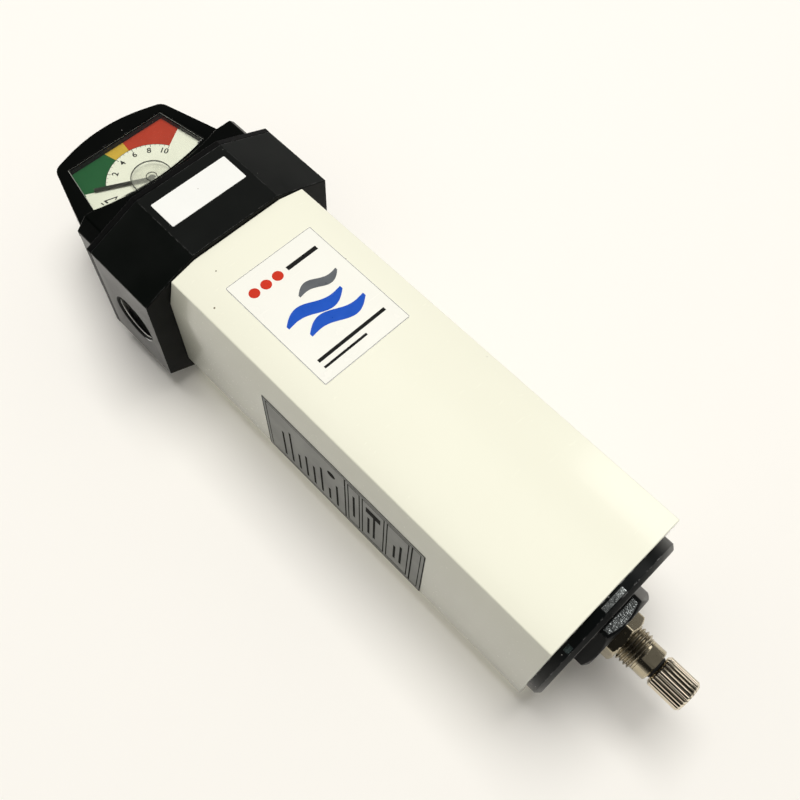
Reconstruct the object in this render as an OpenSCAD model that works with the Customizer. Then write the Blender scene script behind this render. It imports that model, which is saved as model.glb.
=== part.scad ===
// Compressed air filter with a float drain and a differential pressure gauge.
// Millimetres. +Z points up from the bowl to the gauge and the front faces -Y.
// The origin is where the pipe line crosses the axis of the bowl.

/* [Head] */
// Width between the two pipe faces
head_w = 86.4; // [84:0.2:92]
// Depth from the front flat to the back flat
head_d = 71.6; // [70:0.2:76]
// Width of the front flat
head_flat_w = 39.6; // [36:0.2:44]
// Reach of each pipe face in front of the pipe line
side_front = 25.7; // [24:0.1:28]
// Reach of each pipe face behind the pipe line
side_back = 23; // [22:0.1:28]
// Pipe line above the underside of the head
port_drop = 16; // [15.5:0.1:18]
// Pipe line below the top of the head
port_rise = 17.6; // [16.5:0.1:20]
// Wall diameter of a pipe thread
port_d = 18.6; // [14.8:0.1:19.4]
// Depth of a pipe thread
port_depth = 14; // [12:0.5:14]

/* [Bowl] */
// Width across the flats of the bowl
bowl_w = 68; // [67.2:0.1:70]
// Width of one flat of the bowl
bowl_flat_w = 40; // [36:0.2:42]
// Width across the bent corners, measured square to the flats
bowl_corner_w = 62; // [60:0.1:63]
// Length of the bowl below the head
bowl_len = 182; // [176:1:190]
// Bore of the bowl
bowl_bore_d = 51; // [50.6:0.1:51.4]
// Diameter of the thread that holds the bowl in the head
bowl_thread_d = 58; // [57:0.1:58.4]

/* [Element] */
// Diameter of the drain layer around the element
element_d = 42; // [38:0.5:44]
// Length of the element between its end caps
element_len = 114; // [90:1:114]

/* [Drain] */
// Thread of the drain through the bottom cap
drain_thread_d = 14; // [13:0.1:14]
// Diameter of the ribbed drain knob
knob_d = 12.2; // [11:0.1:13]
// Number of ribs around the knob
knob_ribs = 24; // [16:1:30]
// Diameter of the float
float_d = 38; // [30:1:40]

/* [Gauge] */
// Width of the gauge base across the head
gauge_base_w = 77.6; // [77:0.2:80]
// Top of the gauge housing above the pipe line, at its middle
gauge_top = 74.3; // [74:0.1:78]
// Stroke of the sensing piston
piston_travel = 10; // [6:1:10]

/* [Hidden] */
// Head
head_top = port_rise;
head_bottom = -port_drop;
port_r = port_d / 2;
port_mouth_r = port_r + 1.4;
passage_r = 7;
inlet_sense_x = -12;
outlet_sense_x = 21;
chamber_r = 27;
chamber_top = 9;
boss_r = 16;
boss_bottom = -12;
socket_r = 9.05;
thread_gap = 0.05;
thread_top = -7.5;
seal_r = 32.4;
seal_top = -12.8;
rod_hole_top = 13;

// Bowl
bowl_top = head_bottom - 0.2;
bowl_bottom = bowl_top - bowl_len;
spigot_top = -8.2;
bore_r = bowl_bore_d / 2;
bowl_thread_r = bowl_thread_d / 2;
bowl_seal_r = 30.7;
bowl_seal_wire = 1.35;

// Element
spigot_r = 9;
spigot_h = 12;
sock_r = element_d / 2;
support_r = sock_r - 2.5;
media_r = support_r - 0.5;
core_r = 12.6;
core_wall = 0.6;
end_cap_r = sock_r + 0.5;
element_top = -15;
cap_plate = 5;
media_top = element_top - cap_plate;
media_bottom = media_top - element_len;
element_bottom = media_bottom - cap_plate;
rod_r = 2.5;
hole_rows = 7;
hole_columns = 6;

// Bottom cap
cap_r = 34.2;
cap_plate_h = 5;
cap_bottom = bowl_bottom - cap_plate_h;
cap_plug_h = 11;
cap_plug_r = bore_r - thread_gap;
cap_sump_r = 21;
cap_floor = bowl_bottom + 3;
cap_hex_r = 17.3;
cap_hex_h = 5;
cap_turn = -3.5;
cap_hex_bottom = cap_bottom - cap_hex_h;
cap_seal_z = bowl_bottom + 6.8;

// Drain
drain_r = drain_thread_d / 2;
drain_hole_r = drain_r + thread_gap;
gasket_h = 1;
flange_r = 16;
flange_bottom = cap_floor + gasket_h;
flange_top = flange_bottom + 3;
tower_r = 5;
tower_top = flange_top + 14;
nut_h = 3.8;
nut_af = 17;
nut_turn = 30;
nut_bottom = cap_hex_bottom - nut_h;
thread_pitch = 1.5;
thread_turns = 4;
thread_depth = 0.85;
thread_bottom = nut_bottom - thread_turns * thread_pitch;
neck_r = 6.1;
neck_af = 10.4;
neck_bottom = thread_bottom - 5.8;
stem_r = 3;
stem_bore_r = stem_r + thread_gap;
stem_top = cap_bottom - 4;
seat_bore_r = 1.6;
knob_r = knob_d / 2;
knob_gap = 1;
knob_top = neck_bottom - knob_gap;
knob_h = 13.2;
knob_bottom = knob_top - knob_h;
rib_depth = 0.55;
stem_seal_r = 3.75;
stem_seal_wire = 0.44;

// Float
pin_x = -13;
pin_z = tower_top + 4;
pin_r = 1.2;
ear_y = 4.6;
ear_t = 1.6;
arm_y = 3;
arm_h = 3;
float_x = 3;
float_r = float_d / 2;
float_bottom = pin_z + 4;
float_h = 17;
pad_r = 3;

// Gauge base
base_gasket_h = 2.3;
base_bottom = head_top + base_gasket_h;
base_top = 35;
base_half_w = gauge_base_w / 2;
base_front = -22.3;
base_back = 21;
base_lip_top = 35.6;
base_lip_dip = 4.4;
base_lip_w = 60;
lip_scoop_r = (pow(base_lip_w / 2, 2) + pow(base_lip_dip, 2)) / (2 * base_lip_dip);
base_corner = 1.8;
base_left_corner = 5;
feed_r = 1;
screw_x = 30;
screw_y = 16.2;
screw_r = 2;
screw_head_r = 3.5;
screw_head_h = 4;
screw_depth = 9;

// Gauge housing
gauge_front = -14;
gauge_back = 12;
gauge_foot_w = 36.9;
gauge_corner_w = 23;
gauge_corner_z = 70.1;
gauge_corner_r = 5;
roof_steps = 8;
window_top_w = 23.2;
window_bottom_w = 27.4;
window_top_z = 65.8;
window_low_z = 42.2;
window_dip_z = 38.6;
window_steps = 10;
lens_step = 0.7;
lens_back = gauge_front + 1.8;
lens_t = 1.2;
dial_front = lens_back + 2.2;
dial_t = 0.8;
cover_t = 2;
cover_screw_low = 48;
cover_screw_high = 62;
pivot_z = 41.4;
needle_len = 23.4;
needle_tilt = 153;
needle_sweep = 122;
hub_r = 1.6;
spindle_r = 0.6;
magnet_r = 3;
sleeve_y = 3;
sleeve_r = 6;
sleeve_wall = 1;
sleeve_bottom = 22.5;
sleeve_top = 53;
piston_bottom = 24.5;
piston_h = 8;
piston_r = sleeve_r - sleeve_wall - thread_gap;
spring_wire = 0.35;
spring_r = 4;
spring_turns = 7;
spring_bottom = piston_bottom + piston_h;
spring_top = sleeve_top - 2;

// Labels
label_t = 0.15;
head_label_w = 34.4;
head_label_h = 13.2;
head_label_z = 5.4;
sticker_h = 52.6;
sticker_z = -59.7;
plate_h = 81.5;
plate_z = -108.2;

black_paint = [0.02, 0.02, 0.02];
white_paint = [0.93, 0.93, 0.86];
nickel = [0.72, 0.69, 0.62];
steel = [0.75, 0.76, 0.78];
rubber_black = [0.04, 0.04, 0.04];

// A ring whose section is a circle, for the rubber seals.
module ring(r, wire, z) {
  translate([0, 0, z])
    rotate_extrude($fn = 96)
      translate([r, 0])
        circle(r = wire, $fn = 32);
}

// An upright tube between two heights.
module tube(outer, inner, low, high) {
  difference() {
    translate([0, 0, low])
      cylinder(r = outer, h = high - low, $fn = 96);
    translate([0, 0, low - 1])
      cylinder(r = inner, h = high - low + 2, $fn = 96);
  }
}

// A tube with rows of round holes, for the metal sleeves of the element.
module pierced_tube(outer, inner, low, high, hole_r) {
  row_gap = (high - low) / (hole_rows + 1);
  difference() {
    tube(outer, inner, low, high);
    for (row = [1 : hole_rows])
      for (column = [0 : hole_columns - 1])
        rotate([0, 0, (column + 0.5 * (row % 2)) * 360 / hole_columns])
          translate([inner - 2, 0, low + row * row_gap])
            rotate([0, 90, 0])
              cylinder(r = hole_r, h = 4, $fn = 24);
  }
}

// A flat shape drawn in X and Z, given a thickness from one depth to another.
module slab(front, back) {
  translate([0, back, 0])
    rotate([90, 0, 0])
      linear_extrude(height = back - front)
        children();
}

// The plan of the head: two pipe faces, two flats and four shallow bevels.
module head_plan() {
  x1 = head_flat_w / 2;
  x2 = head_w / 2;
  y = head_d / 2;
  polygon([
    [-x1, -y], [x1, -y], [x2, -side_front], [x2, side_back],
    [x1, y], [-x1, y], [-x2, side_back], [-x2, -side_front]
  ]);
}

// The plan of the bowl: a square whose four corners are each bent outwards.
module bowl_plan() {
  f = bowl_flat_w / 2;
  c = bowl_corner_w / 2;
  w = bowl_w / 2;
  polygon([
    [-f, -w], [f, -w], [c, -c], [w, -f], [w, f], [c, c],
    [f, w], [-f, w], [-c, c], [-w, f], [-w, -f], [-c, -c]
  ]);
}

// One pipe thread with its bevelled mouth, on the +X side.
module port_cut() {
  mouth = port_mouth_r - port_r;
  translate([head_w / 2 - port_depth, 0, 0])
    rotate([0, 90, 0])
      cylinder(r = port_r, h = port_depth + 1, $fn = 96);
  translate([head_w / 2 - mouth, 0, 0])
    rotate([0, 90, 0])
      cylinder(r1 = port_r, r2 = port_mouth_r + 1, h = mouth + 1, $fn = 96);
}

module head() {
  passage_end = head_w / 2 - port_depth;
  bridge_w = 2 * passage_r + 6;
  color(black_paint)
    difference() {
      union() {
        difference() {
          translate([0, 0, head_bottom])
            linear_extrude(height = head_top - head_bottom)
              head_plan();
          translate([0, 0, head_bottom - 1])
            cylinder(r = bowl_thread_r + thread_gap, h = thread_top - head_bottom + 1, $fn = 96);
          translate([0, 0, head_bottom - 1])
            cylinder(r = seal_r, h = seal_top - head_bottom + 1, $fn = 96);
          translate([0, 0, thread_top - 1])
            cylinder(r = chamber_r, h = chamber_top - thread_top + 1, $fn = 96);
        }
        // the post that carries the element
        translate([0, 0, boss_bottom])
          cylinder(r = boss_r, h = head_top - boss_bottom - 1, $fn = 96);
        // the duct that leads the inlet across the ring chamber
        translate([-chamber_r - 1.5, -bridge_w / 2, thread_top])
          cube([chamber_r + 1.5, bridge_w, chamber_top - thread_top + 1]);
      }
      port_cut();
      mirror([1, 0, 0])
        port_cut();
      // inlet passage to the middle
      translate([-passage_end - 1, 0, 0])
        rotate([0, 90, 0])
          cylinder(r = passage_r, h = passage_end + 5, $fn = 72);
      // outlet passage from the ring chamber
      translate([20, 0, 0])
        rotate([0, 90, 0])
          cylinder(r = passage_r, h = passage_end - 19, $fn = 72);
      // socket of the element
      translate([0, 0, boss_bottom - 1])
        cylinder(r = socket_r, h = 1 - boss_bottom, $fn = 72);
      // thread of the tie rod
      cylinder(r = rod_r, h = rod_hole_top, $fn = 32);
      // sensing holes to the gauge, upstream and downstream
      for (x = [inlet_sense_x, outlet_sense_x])
        translate([x, 0, 0])
          cylinder(r = feed_r, h = head_top + 1, $fn = 24);
      // threads of the two gauge screws
      for (x = [-screw_x, screw_x])
        translate([x, screw_y, head_top - screw_depth])
          cylinder(r = screw_r, h = screw_depth + 1, $fn = 32);
    }
}

module head_label() {
  color("white")
    translate([-head_label_w / 2, -head_d / 2 - label_t, head_label_z - head_label_h / 2])
      cube([head_label_w, label_t, head_label_h]);
}

module element_top_cap() {
  color([0.1, 0.1, 0.1])
    difference() {
      union() {
        translate([0, 0, element_top - cap_plate])
          cylinder(r = end_cap_r, h = cap_plate, $fn = 96);
        translate([0, 0, element_top - 1])
          cylinder(r = spigot_r, h = spigot_h + 1, $fn = 72);
      }
      translate([0, 0, element_top - cap_plate - 1])
        cylinder(r = spigot_r - 2.5, h = cap_plate + spigot_h + 2, $fn = 72);
      // groove of the seal
      tube(spigot_r + 1, spigot_r - 1.4, element_top + 5, element_top + 7.4);
    }
}

module element_seal() {
  color(rubber_black)
    ring(spigot_r - 0.68, 0.7, element_top + 6.2);
}

module element_core() {
  color(steel)
    pierced_tube(core_r, core_r - core_wall, media_bottom, media_top, 3.2);
}

module element_media() {
  color([0.95, 0.94, 0.9])
    tube(media_r, core_r, media_bottom, media_top);
}

module element_support() {
  color(steel)
    pierced_tube(support_r, media_r, media_bottom, media_top, 4.2);
}

module element_sock() {
  color([0.15, 0.3, 0.6])
    tube(sock_r, support_r, media_bottom, media_top);
}

module element_bottom_cap() {
  color([0.1, 0.1, 0.1])
    tube(end_cap_r, rod_r + 0.1, element_bottom, media_bottom);
}

module tie_rod() {
  color(steel)
    translate([0, 0, element_bottom - 6])
      cylinder(r = rod_r, h = rod_hole_top - element_bottom + 6, $fn = 32);
}

module tie_washer() {
  color(rubber_black)
    tube(5.5, rod_r, element_bottom - 1, element_bottom);
}

module tie_nut() {
  color(steel)
    difference() {
      translate([0, 0, element_bottom - 5])
        cylinder(r = 4.6, h = 4, $fn = 6);
      translate([0, 0, element_bottom - 6])
        cylinder(r = rod_r, h = 6, $fn = 32);
    }
}

// The plan of the gauge base, with bevelled corners.
module base_plan() {
  x = base_half_w;
  b = base_corner;
  polygon([
    [-x + base_left_corner, base_front], [x - b, base_front], [x, base_front + b], [x, base_back - b],
    [x - b, base_back], [-x + b, base_back], [-x, base_back - b], [-x, base_front + base_left_corner]
  ]);
}

module gauge_gasket() {
  color(rubber_black)
    difference() {
      translate([0, 0, head_top])
        linear_extrude(height = base_gasket_h)
          head_plan();
      for (x = [-screw_x, screw_x])
        translate([x, screw_y, head_top - 1])
          cylinder(r = screw_r + 0.15, h = base_gasket_h + 2, $fn = 32);
      for (x = [inlet_sense_x, outlet_sense_x])
        translate([x, 0, head_top - 1])
          cylinder(r = feed_r + 0.2, h = base_gasket_h + 2, $fn = 24);
    }
}

module gauge_base() {
  color(black_paint)
    difference() {
      translate([0, 0, base_bottom])
        linear_extrude(height = base_lip_top - base_bottom)
          base_plan();
      // the seat of the housing, behind the front lip
      translate([-50, gauge_front - 0.05, base_top])
        cube([100, 50, 10]);
      // the lip dips towards the middle
      translate([0, gauge_front - 0.05, base_lip_top - base_lip_dip + lip_scoop_r])
        rotate([90, 0, 0])
          cylinder(r = lip_scoop_r, h = 20, $fn = 180);
      // socket of the sensing sleeve and its feed
      translate([0, sleeve_y, sleeve_bottom])
        cylinder(r = sleeve_r, h = 30, $fn = 48);
      translate([0, sleeve_y, base_bottom - 1])
        cylinder(r = feed_r, h = 5, $fn = 24);
      translate([inlet_sense_x - feed_r, sleeve_y - 4, base_bottom - 1])
        cube([2 * feed_r - inlet_sense_x, 5, 1.8]);
      // feed from the clean side
      translate([outlet_sense_x, 0, base_bottom - 1])
        cylinder(r = feed_r, h = 30, $fn = 24);
      for (x = [-screw_x, screw_x])
        translate([x, screw_y, base_bottom - 1])
          cylinder(r = screw_r + 0.15, h = 30, $fn = 32);
    }
}

module gauge_screws() {
  color(steel)
    for (x = [-screw_x, screw_x])
      translate([x, screw_y, 0])
        difference() {
          union() {
            translate([0, 0, head_top - screw_depth + 1])
              cylinder(r = screw_r, h = base_top - head_top + screw_depth, $fn = 32);
            translate([0, 0, base_top])
              cylinder(r = screw_head_r, h = screw_head_h, $fn = 48);
          }
          translate([0, 0, base_top + screw_head_h - 2])
            cylinder(r = 1.75, h = 3, $fn = 6);
        }
}

// Half of the outline of the gauge, from the foot to the middle of the roof.
function gauge_corner() = [
  for (k = [0 : 4])
    let (turn = 18 + k * 15, z = gauge_corner_z - gauge_corner_r)
    [gauge_corner_w + gauge_corner_r * cos(turn) - 0.3, z + gauge_corner_r * sin(turn)]
];
function gauge_roof() = [
  for (k = [1 : roof_steps])
    let (x = gauge_corner_w * (1 - k / roof_steps))
    [x, gauge_top - (gauge_top - gauge_corner_z) * pow(x / gauge_corner_w, 2)]
];
gauge_side = concat([[gauge_foot_w, base_top]], gauge_corner(), gauge_roof());
gauge_mirror = [for (k = [len(gauge_side) - 2 : -1 : 0]) [-gauge_side[k][0], gauge_side[k][1]]];

// The whole outline of the gauge housing, seen from the front.
module gauge_outline() {
  polygon(concat(gauge_side, gauge_mirror));
}

// The window, with its bowed lower edge; grow moves every side outwards.
module window_outline(grow) {
  low_w = window_bottom_w + grow;
  top_w = window_top_w + grow;
  top_z = window_top_z + grow;
  bow = [
    for (k = [-window_steps : window_steps])
      let (t = k / window_steps)
      [t * low_w, window_dip_z - grow + (window_low_z - window_dip_z) * t * t]
  ];
  polygon(concat(bow, [[top_w, top_z], [-top_w, top_z]]));
}

module gauge_housing() {
  color(black_paint)
    difference() {
      slab(gauge_front, gauge_back)
        gauge_outline();
      slab(gauge_front - 1, lens_back)
        window_outline(0);
      slab(lens_back - 1, dial_front + 1)
        window_outline(-lens_step);
      slab(dial_front, gauge_back - cover_t)
        window_outline(1);
      slab(gauge_back - cover_t - 1, gauge_back + 1)
        window_outline(2);
      // the sensing sleeve comes up through the foot
      translate([0, sleeve_y, base_top - 1])
        cylinder(r = sleeve_r, h = 10, $fn = 48);
      translate([outlet_sense_x, 0, base_top - 1])
        cylinder(r = feed_r, h = 10, $fn = 24);
    }
}

module gauge_lens() {
  color([0.9, 0.95, 0.95, 0.3])
    slab(lens_back - lens_t, lens_back)
      window_outline(-0.05);
}

module gauge_dial() {
  color([0.95, 0.94, 0.86])
    difference() {
      slab(dial_front, dial_front + dial_t)
        window_outline(0.9);
      translate([0, dial_front - 1, pivot_z])
        rotate([-90, 0, 0])
          cylinder(r = 1.5, h = 3, $fn = 32);
    }
}

module gauge_bush() {
  color([0.78, 0.6, 0.25])
    translate([0, dial_front, pivot_z])
      rotate([-90, 0, 0])
        difference() {
          cylinder(r = 1.5, h = 3, $fn = 32);
          translate([0, 0, -1])
            cylinder(r = spindle_r + thread_gap, h = 5, $fn = 32);
        }
}

module gauge_cover() {
  color(black_paint)
    slab(gauge_back - cover_t, gauge_back)
      window_outline(1.9);
}

module cover_screws() {
  color(steel)
    for (x = [-1, 1])
      for (z = [cover_screw_low, cover_screw_high])
        translate([x * (window_top_w - 2), gauge_back, z])
          rotate([-90, 0, 0])
            difference() {
              cylinder(r = 2.2, h = 1.4, $fn = 32);
              translate([0, 0, 0.8])
                cube([0.6, 3.4, 1.4], center = true);
            }
}

module gauge_sleeve() {
  color([0.78, 0.6, 0.25])
    translate([0, sleeve_y, 0])
      difference() {
        translate([0, 0, sleeve_bottom])
          cylinder(r = sleeve_r, h = sleeve_top - sleeve_bottom, $fn = 48);
        translate([0, 0, sleeve_bottom - 1])
          cylinder(r = sleeve_r - sleeve_wall, h = sleeve_top - sleeve_bottom - 1, $fn = 48);
        translate([0, 0, sleeve_top - 3])
          cylinder(r = 1, h = 5, $fn = 24);
      }
}

module gauge_piston() {
  color([0.3, 0.3, 0.32])
    translate([0, sleeve_y, piston_bottom])
      cylinder(r = piston_r, h = piston_h, $fn = 48);
}

// One side ring of the spring wire at a given share of its height.
function wire_ring(t, sides) = [
  for (s = [0 : sides - 1])
    let (
      turn = 360 * spring_turns * t,
      around = 360 * s / sides,
      out = spring_r + spring_wire * cos(around),
      low = spring_bottom + spring_wire + 0.02,
      high = spring_top - spring_wire - 0.02
    )
    [out * cos(turn), out * sin(turn), low + (high - low) * t + spring_wire * sin(around)]
];

module gauge_spring() {
  sides = 6;
  steps = spring_turns * 16;
  points = [for (k = [0 : steps]) each wire_ring(k / steps, sides)];
  skin = [
    for (k = [0 : steps - 1])
      for (s = [0 : sides - 1])
        let (a = k * sides + s, b = k * sides + (s + 1) % sides)
        each [[a, b + sides, b], [a, a + sides, b + sides]]
  ];
  first = [[for (s = [0 : sides - 1]) s]];
  last = [[for (s = [sides - 1 : -1 : 0]) steps * sides + s]];
  color(steel)
    translate([0, sleeve_y, 0])
      polyhedron(points = points, faces = concat(skin, first, last));
}

module gauge_needle() {
  blade_t = 0.4;
  blade_front = dial_front - 1.1;
  color([0.25, 0.25, 0.25])
    translate([0, 0, pivot_z])
      union() {
        translate([0, blade_front - 0.2, 0])
          rotate([-90, 0, 0])
            cylinder(r = hub_r, h = 1.1, $fn = 32);
        translate([0, blade_front + 0.6, 0])
          rotate([-90, 0, 0])
            cylinder(r = spindle_r, h = 5.4, $fn = 24);
        rotate([0, -needle_tilt, 0])
          translate([0, blade_front, -0.8])
            cube([needle_len, blade_t, 1.6]);
      }
}

module needle_magnet() {
  color([0.35, 0.35, 0.38])
    translate([0, dial_front + 4, pivot_z])
      rotate([-90, 0, 0])
        difference() {
          cylinder(r = magnet_r, h = 1.6, $fn = 32);
          translate([0, 0, -1])
            cylinder(r = spindle_r, h = 4, $fn = 24);
        }
}

module bowl_seal() {
  color(rubber_black)
    ring(bowl_seal_r, bowl_seal_wire, bowl_top + bowl_seal_wire + 0.1);
}

module bowl_tube() {
  color(white_paint)
    difference() {
      union() {
        translate([0, 0, bowl_bottom])
          linear_extrude(height = bowl_len)
            bowl_plan();
        translate([0, 0, bowl_top - 1])
          cylinder(r = bowl_thread_r, h = spigot_top - bowl_top + 1, $fn = 96);
      }
      translate([0, 0, bowl_bottom - 1])
        cylinder(r = bore_r, h = bowl_len + 20, $fn = 96);
    }
}

module front_label() {
  color("white")
    translate([-bowl_flat_w / 2 + 0.1, -bowl_w / 2 - label_t, sticker_z - sticker_h / 2])
      cube([bowl_flat_w - 0.2, label_t, sticker_h]);
}

module side_label() {
  color([0.72, 0.72, 0.72])
    translate([-bowl_w / 2 - label_t, -bowl_flat_w / 2 + 0.1, plate_z - plate_h / 2])
      cube([label_t, bowl_flat_w - 0.2, plate_h]);
}

// The section of the bottom cap without its drain hole and hexagon.
module cap_section() {
  round_off = 1.6;
  polygon([
    [0, cap_bottom],
    [cap_r - round_off, cap_bottom],
    [cap_r, cap_bottom + round_off],
    [cap_r, bowl_bottom],
    [cap_plug_r, bowl_bottom],
    [cap_plug_r, cap_seal_z - 1.3],
    [cap_plug_r - 2, cap_seal_z - 1.3],
    [cap_plug_r - 2, cap_seal_z + 1.3],
    [cap_plug_r, cap_seal_z + 1.3],
    [cap_plug_r, bowl_bottom + cap_plug_h],
    [cap_sump_r, bowl_bottom + cap_plug_h],
    [cap_sump_r, cap_floor],
    [0, cap_floor]
  ]);
}

// A hexagon with its lower edge turned to a cone.
module turned_hexagon(across_flats, low, high) {
  corner_r = across_flats / 2 / cos(30);
  chamfer = corner_r - across_flats / 2;
  intersection() {
    translate([0, 0, low])
      cylinder(r = corner_r, h = high - low, $fn = 6);
    rotate_extrude($fn = 96)
      polygon([
        [0, low], [across_flats / 2 - 0.4, low], [corner_r + 0.4, low + 0.6 * chamfer + 0.5],
        [corner_r + 0.4, high], [0, high]
      ]);
  }
}

module bottom_cap() {
  color(black_paint)
    difference() {
      union() {
        rotate_extrude($fn = 96)
          cap_section();
        rotate([0, 0, cap_turn])
          turned_hexagon(2 * cap_hex_r * cos(30), cap_hex_bottom, cap_bottom + 1);
      }
      translate([0, 0, cap_hex_bottom - 1])
        cylinder(r = drain_hole_r, h = 30, $fn = 72);
    }
}

module cap_seal() {
  color(rubber_black)
    ring(bore_r - 1.05, 0.98, cap_seal_z);
}

module drain_gasket() {
  color(rubber_black)
    tube(flange_r, drain_hole_r, cap_floor, flange_bottom);
}

// The outside thread of the drain, cut as ridges with a vee between them.
module thread_section() {
  ridges = [
    for (k = [0 : thread_turns - 1])
      let (z = nut_bottom - k * thread_pitch)
      each [
        [drain_r - thread_depth, z - 0.1],
        [drain_r, z - 0.5 * thread_pitch],
        [drain_r, z - 0.5 * thread_pitch - 0.15],
        [drain_r - thread_depth, z - thread_pitch + 0.05]
      ]
  ];
  polygon(concat(
    [[stem_bore_r, nut_bottom], [drain_r - thread_depth, nut_bottom]],
    ridges,
    [[drain_r - thread_depth, thread_bottom], [stem_bore_r, thread_bottom]]
  ));
}

module drain_body() {
  color(nickel)
    difference() {
      union() {
        translate([0, 0, flange_bottom])
          cylinder(r = flange_r, h = flange_top - flange_bottom, $fn = 72);
        translate([0, 0, flange_top - 1])
          cylinder(r = tower_r, h = tower_top - flange_top + 1, $fn = 48);
        translate([0, 0, nut_bottom])
          cylinder(r = drain_r, h = flange_bottom - nut_bottom + 1, $fn = 72);
        rotate_extrude($fn = 96)
          thread_section();
        intersection() {
          translate([0, 0, neck_bottom])
            cylinder(r = neck_r, h = thread_bottom - neck_bottom, $fn = 72);
          union() {
            translate([-neck_r - 1, -neck_af / 2, neck_bottom])
              cube([2 * neck_r + 2, neck_af, thread_bottom - neck_bottom]);
            translate([-neck_r - 1, -neck_r - 1, thread_bottom - 1])
              cube([2 * neck_r + 2, 2 * neck_r + 2, 1]);
          }
        }
        // two ears that carry the float pin
        for (y = [-ear_y, ear_y])
          translate([pin_x - 2.4, y - ear_t / 2, flange_top - 1])
            cube([4.8, ear_t, pin_z + 2.4 - flange_top + 1]);
      }
      translate([0, 0, neck_bottom - 1])
        cylinder(r = stem_bore_r, h = stem_top + 1 - neck_bottom + 1, $fn = 48);
      translate([0, 0, stem_top])
        cylinder(r = seat_bore_r, h = tower_top - stem_top + 1, $fn = 24);
      translate([pin_x, 0, pin_z])
        rotate([90, 0, 0])
          cylinder(r = pin_r, h = 20, $fn = 32, center = true);
    }
}

module drain_nut() {
  color(nickel)
    difference() {
      rotate([0, 0, nut_turn])
        turned_hexagon(nut_af, nut_bottom, cap_hex_bottom);
      translate([0, 0, nut_bottom - 1])
        cylinder(r = drain_hole_r, h = nut_h + 2, $fn = 72);
    }
}

module float_pin() {
  color(steel)
    translate([pin_x, 0, pin_z])
      rotate([90, 0, 0])
        cylinder(r = pin_r, h = 2 * ear_y + ear_t, $fn = 32, center = true);
}

module float_arm() {
  color([0.85, 0.85, 0.8])
    difference() {
      union() {
        translate([pin_x, 0, pin_z])
          rotate([90, 0, 0])
            cylinder(r = 2.4, h = 2 * arm_y, $fn = 48, center = true);
        translate([pin_x, -arm_y, pin_z - arm_h / 2])
          cube([float_x - pin_x + 4, 2 * arm_y, arm_h]);
        translate([float_x, 0, pin_z])
          cylinder(r = 2.8, h = float_bottom - pin_z, $fn = 48);
      }
      translate([pin_x, 0, pin_z])
        rotate([90, 0, 0])
          cylinder(r = pin_r + thread_gap, h = 20, $fn = 32, center = true);
    }
}

module float() {
  color([0.9, 0.9, 0.86])
    translate([float_x, 0, float_bottom])
      cylinder(r = float_r, h = float_h, $fn = 96);
}

module valve_pad() {
  color(rubber_black)
    translate([0, 0, tower_top])
      cylinder(r = pad_r, h = pin_z - arm_h / 2 - tower_top, $fn = 32);
}

module stem_seal() {
  color(rubber_black)
    ring(stem_seal_r, stem_seal_wire, knob_top + knob_gap / 2);
}

module drain_stem() {
  color(nickel)
    translate([0, 0, knob_top])
      cylinder(r = stem_r, h = stem_top - knob_top - 0.3, $fn = 48);
}

// The ribs of the knob: a ring of blunt teeth.
module knob_plan() {
  step = 360 / knob_ribs;
  polygon([
    for (k = [0 : knob_ribs - 1])
      each [
        for (p = [[0.05, 0], [0.45, 0], [0.6, 1], [0.9, 1]])
          let (r = knob_r - rib_depth * p[1], turn = (k + p[0]) * step)
          [r * cos(turn), r * sin(turn)]
      ]
  ]);
}

module drain_knob() {
  bevel = 0.9;
  color(nickel)
    difference() {
      intersection() {
        translate([0, 0, knob_bottom])
          linear_extrude(height = knob_h)
            knob_plan();
        rotate_extrude($fn = 96)
          polygon([
            [0, knob_bottom], [knob_r - bevel, knob_bottom], [knob_r + 0.1, knob_bottom + bevel + 0.1],
            [knob_r + 0.1, knob_top - bevel - 0.1], [knob_r - bevel, knob_top], [0, knob_top]
          ]);
      }
      translate([0, 0, knob_bottom - 1])
        cylinder(r = 1.8, h = 7, $fn = 32);
    }
}

head();
head_label();
element_top_cap();
element_seal();
element_core();
element_media();
element_support();
element_sock();
element_bottom_cap();
tie_rod();
tie_washer();
tie_nut();
gauge_gasket();
gauge_base();
gauge_screws();
gauge_housing();
gauge_lens();
gauge_dial();
gauge_bush();
gauge_cover();
cover_screws();
gauge_sleeve();
gauge_piston();
gauge_spring();
gauge_needle();
needle_magnet();
bowl_seal();
bowl_tube();
front_label();
side_label();
bottom_cap();
cap_seal();
drain_gasket();
drain_body();
drain_nut();
float_pin();
float_arm();
float();
valve_pad();
stem_seal();
drain_stem();
drain_knob();
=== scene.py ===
import math

import bmesh
import bpy
import numpy as np
from mathutils import Matrix, Vector


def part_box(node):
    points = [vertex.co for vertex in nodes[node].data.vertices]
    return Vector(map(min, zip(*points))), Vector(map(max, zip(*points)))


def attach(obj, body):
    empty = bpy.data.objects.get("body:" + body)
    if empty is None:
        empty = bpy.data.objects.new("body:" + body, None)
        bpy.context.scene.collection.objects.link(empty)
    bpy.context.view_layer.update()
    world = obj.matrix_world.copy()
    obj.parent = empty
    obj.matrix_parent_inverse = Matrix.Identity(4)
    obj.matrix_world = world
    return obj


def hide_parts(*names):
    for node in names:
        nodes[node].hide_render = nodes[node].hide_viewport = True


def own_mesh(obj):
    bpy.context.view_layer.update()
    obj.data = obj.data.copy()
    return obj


# Compressed air filter: white bowl, black head with a dial gauge, float drain with a ribbed knob.
# Lengths in the dictionaries are millimetres, in the CAD frame: the front faces -Y, +Z runs to the gauge.

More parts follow.
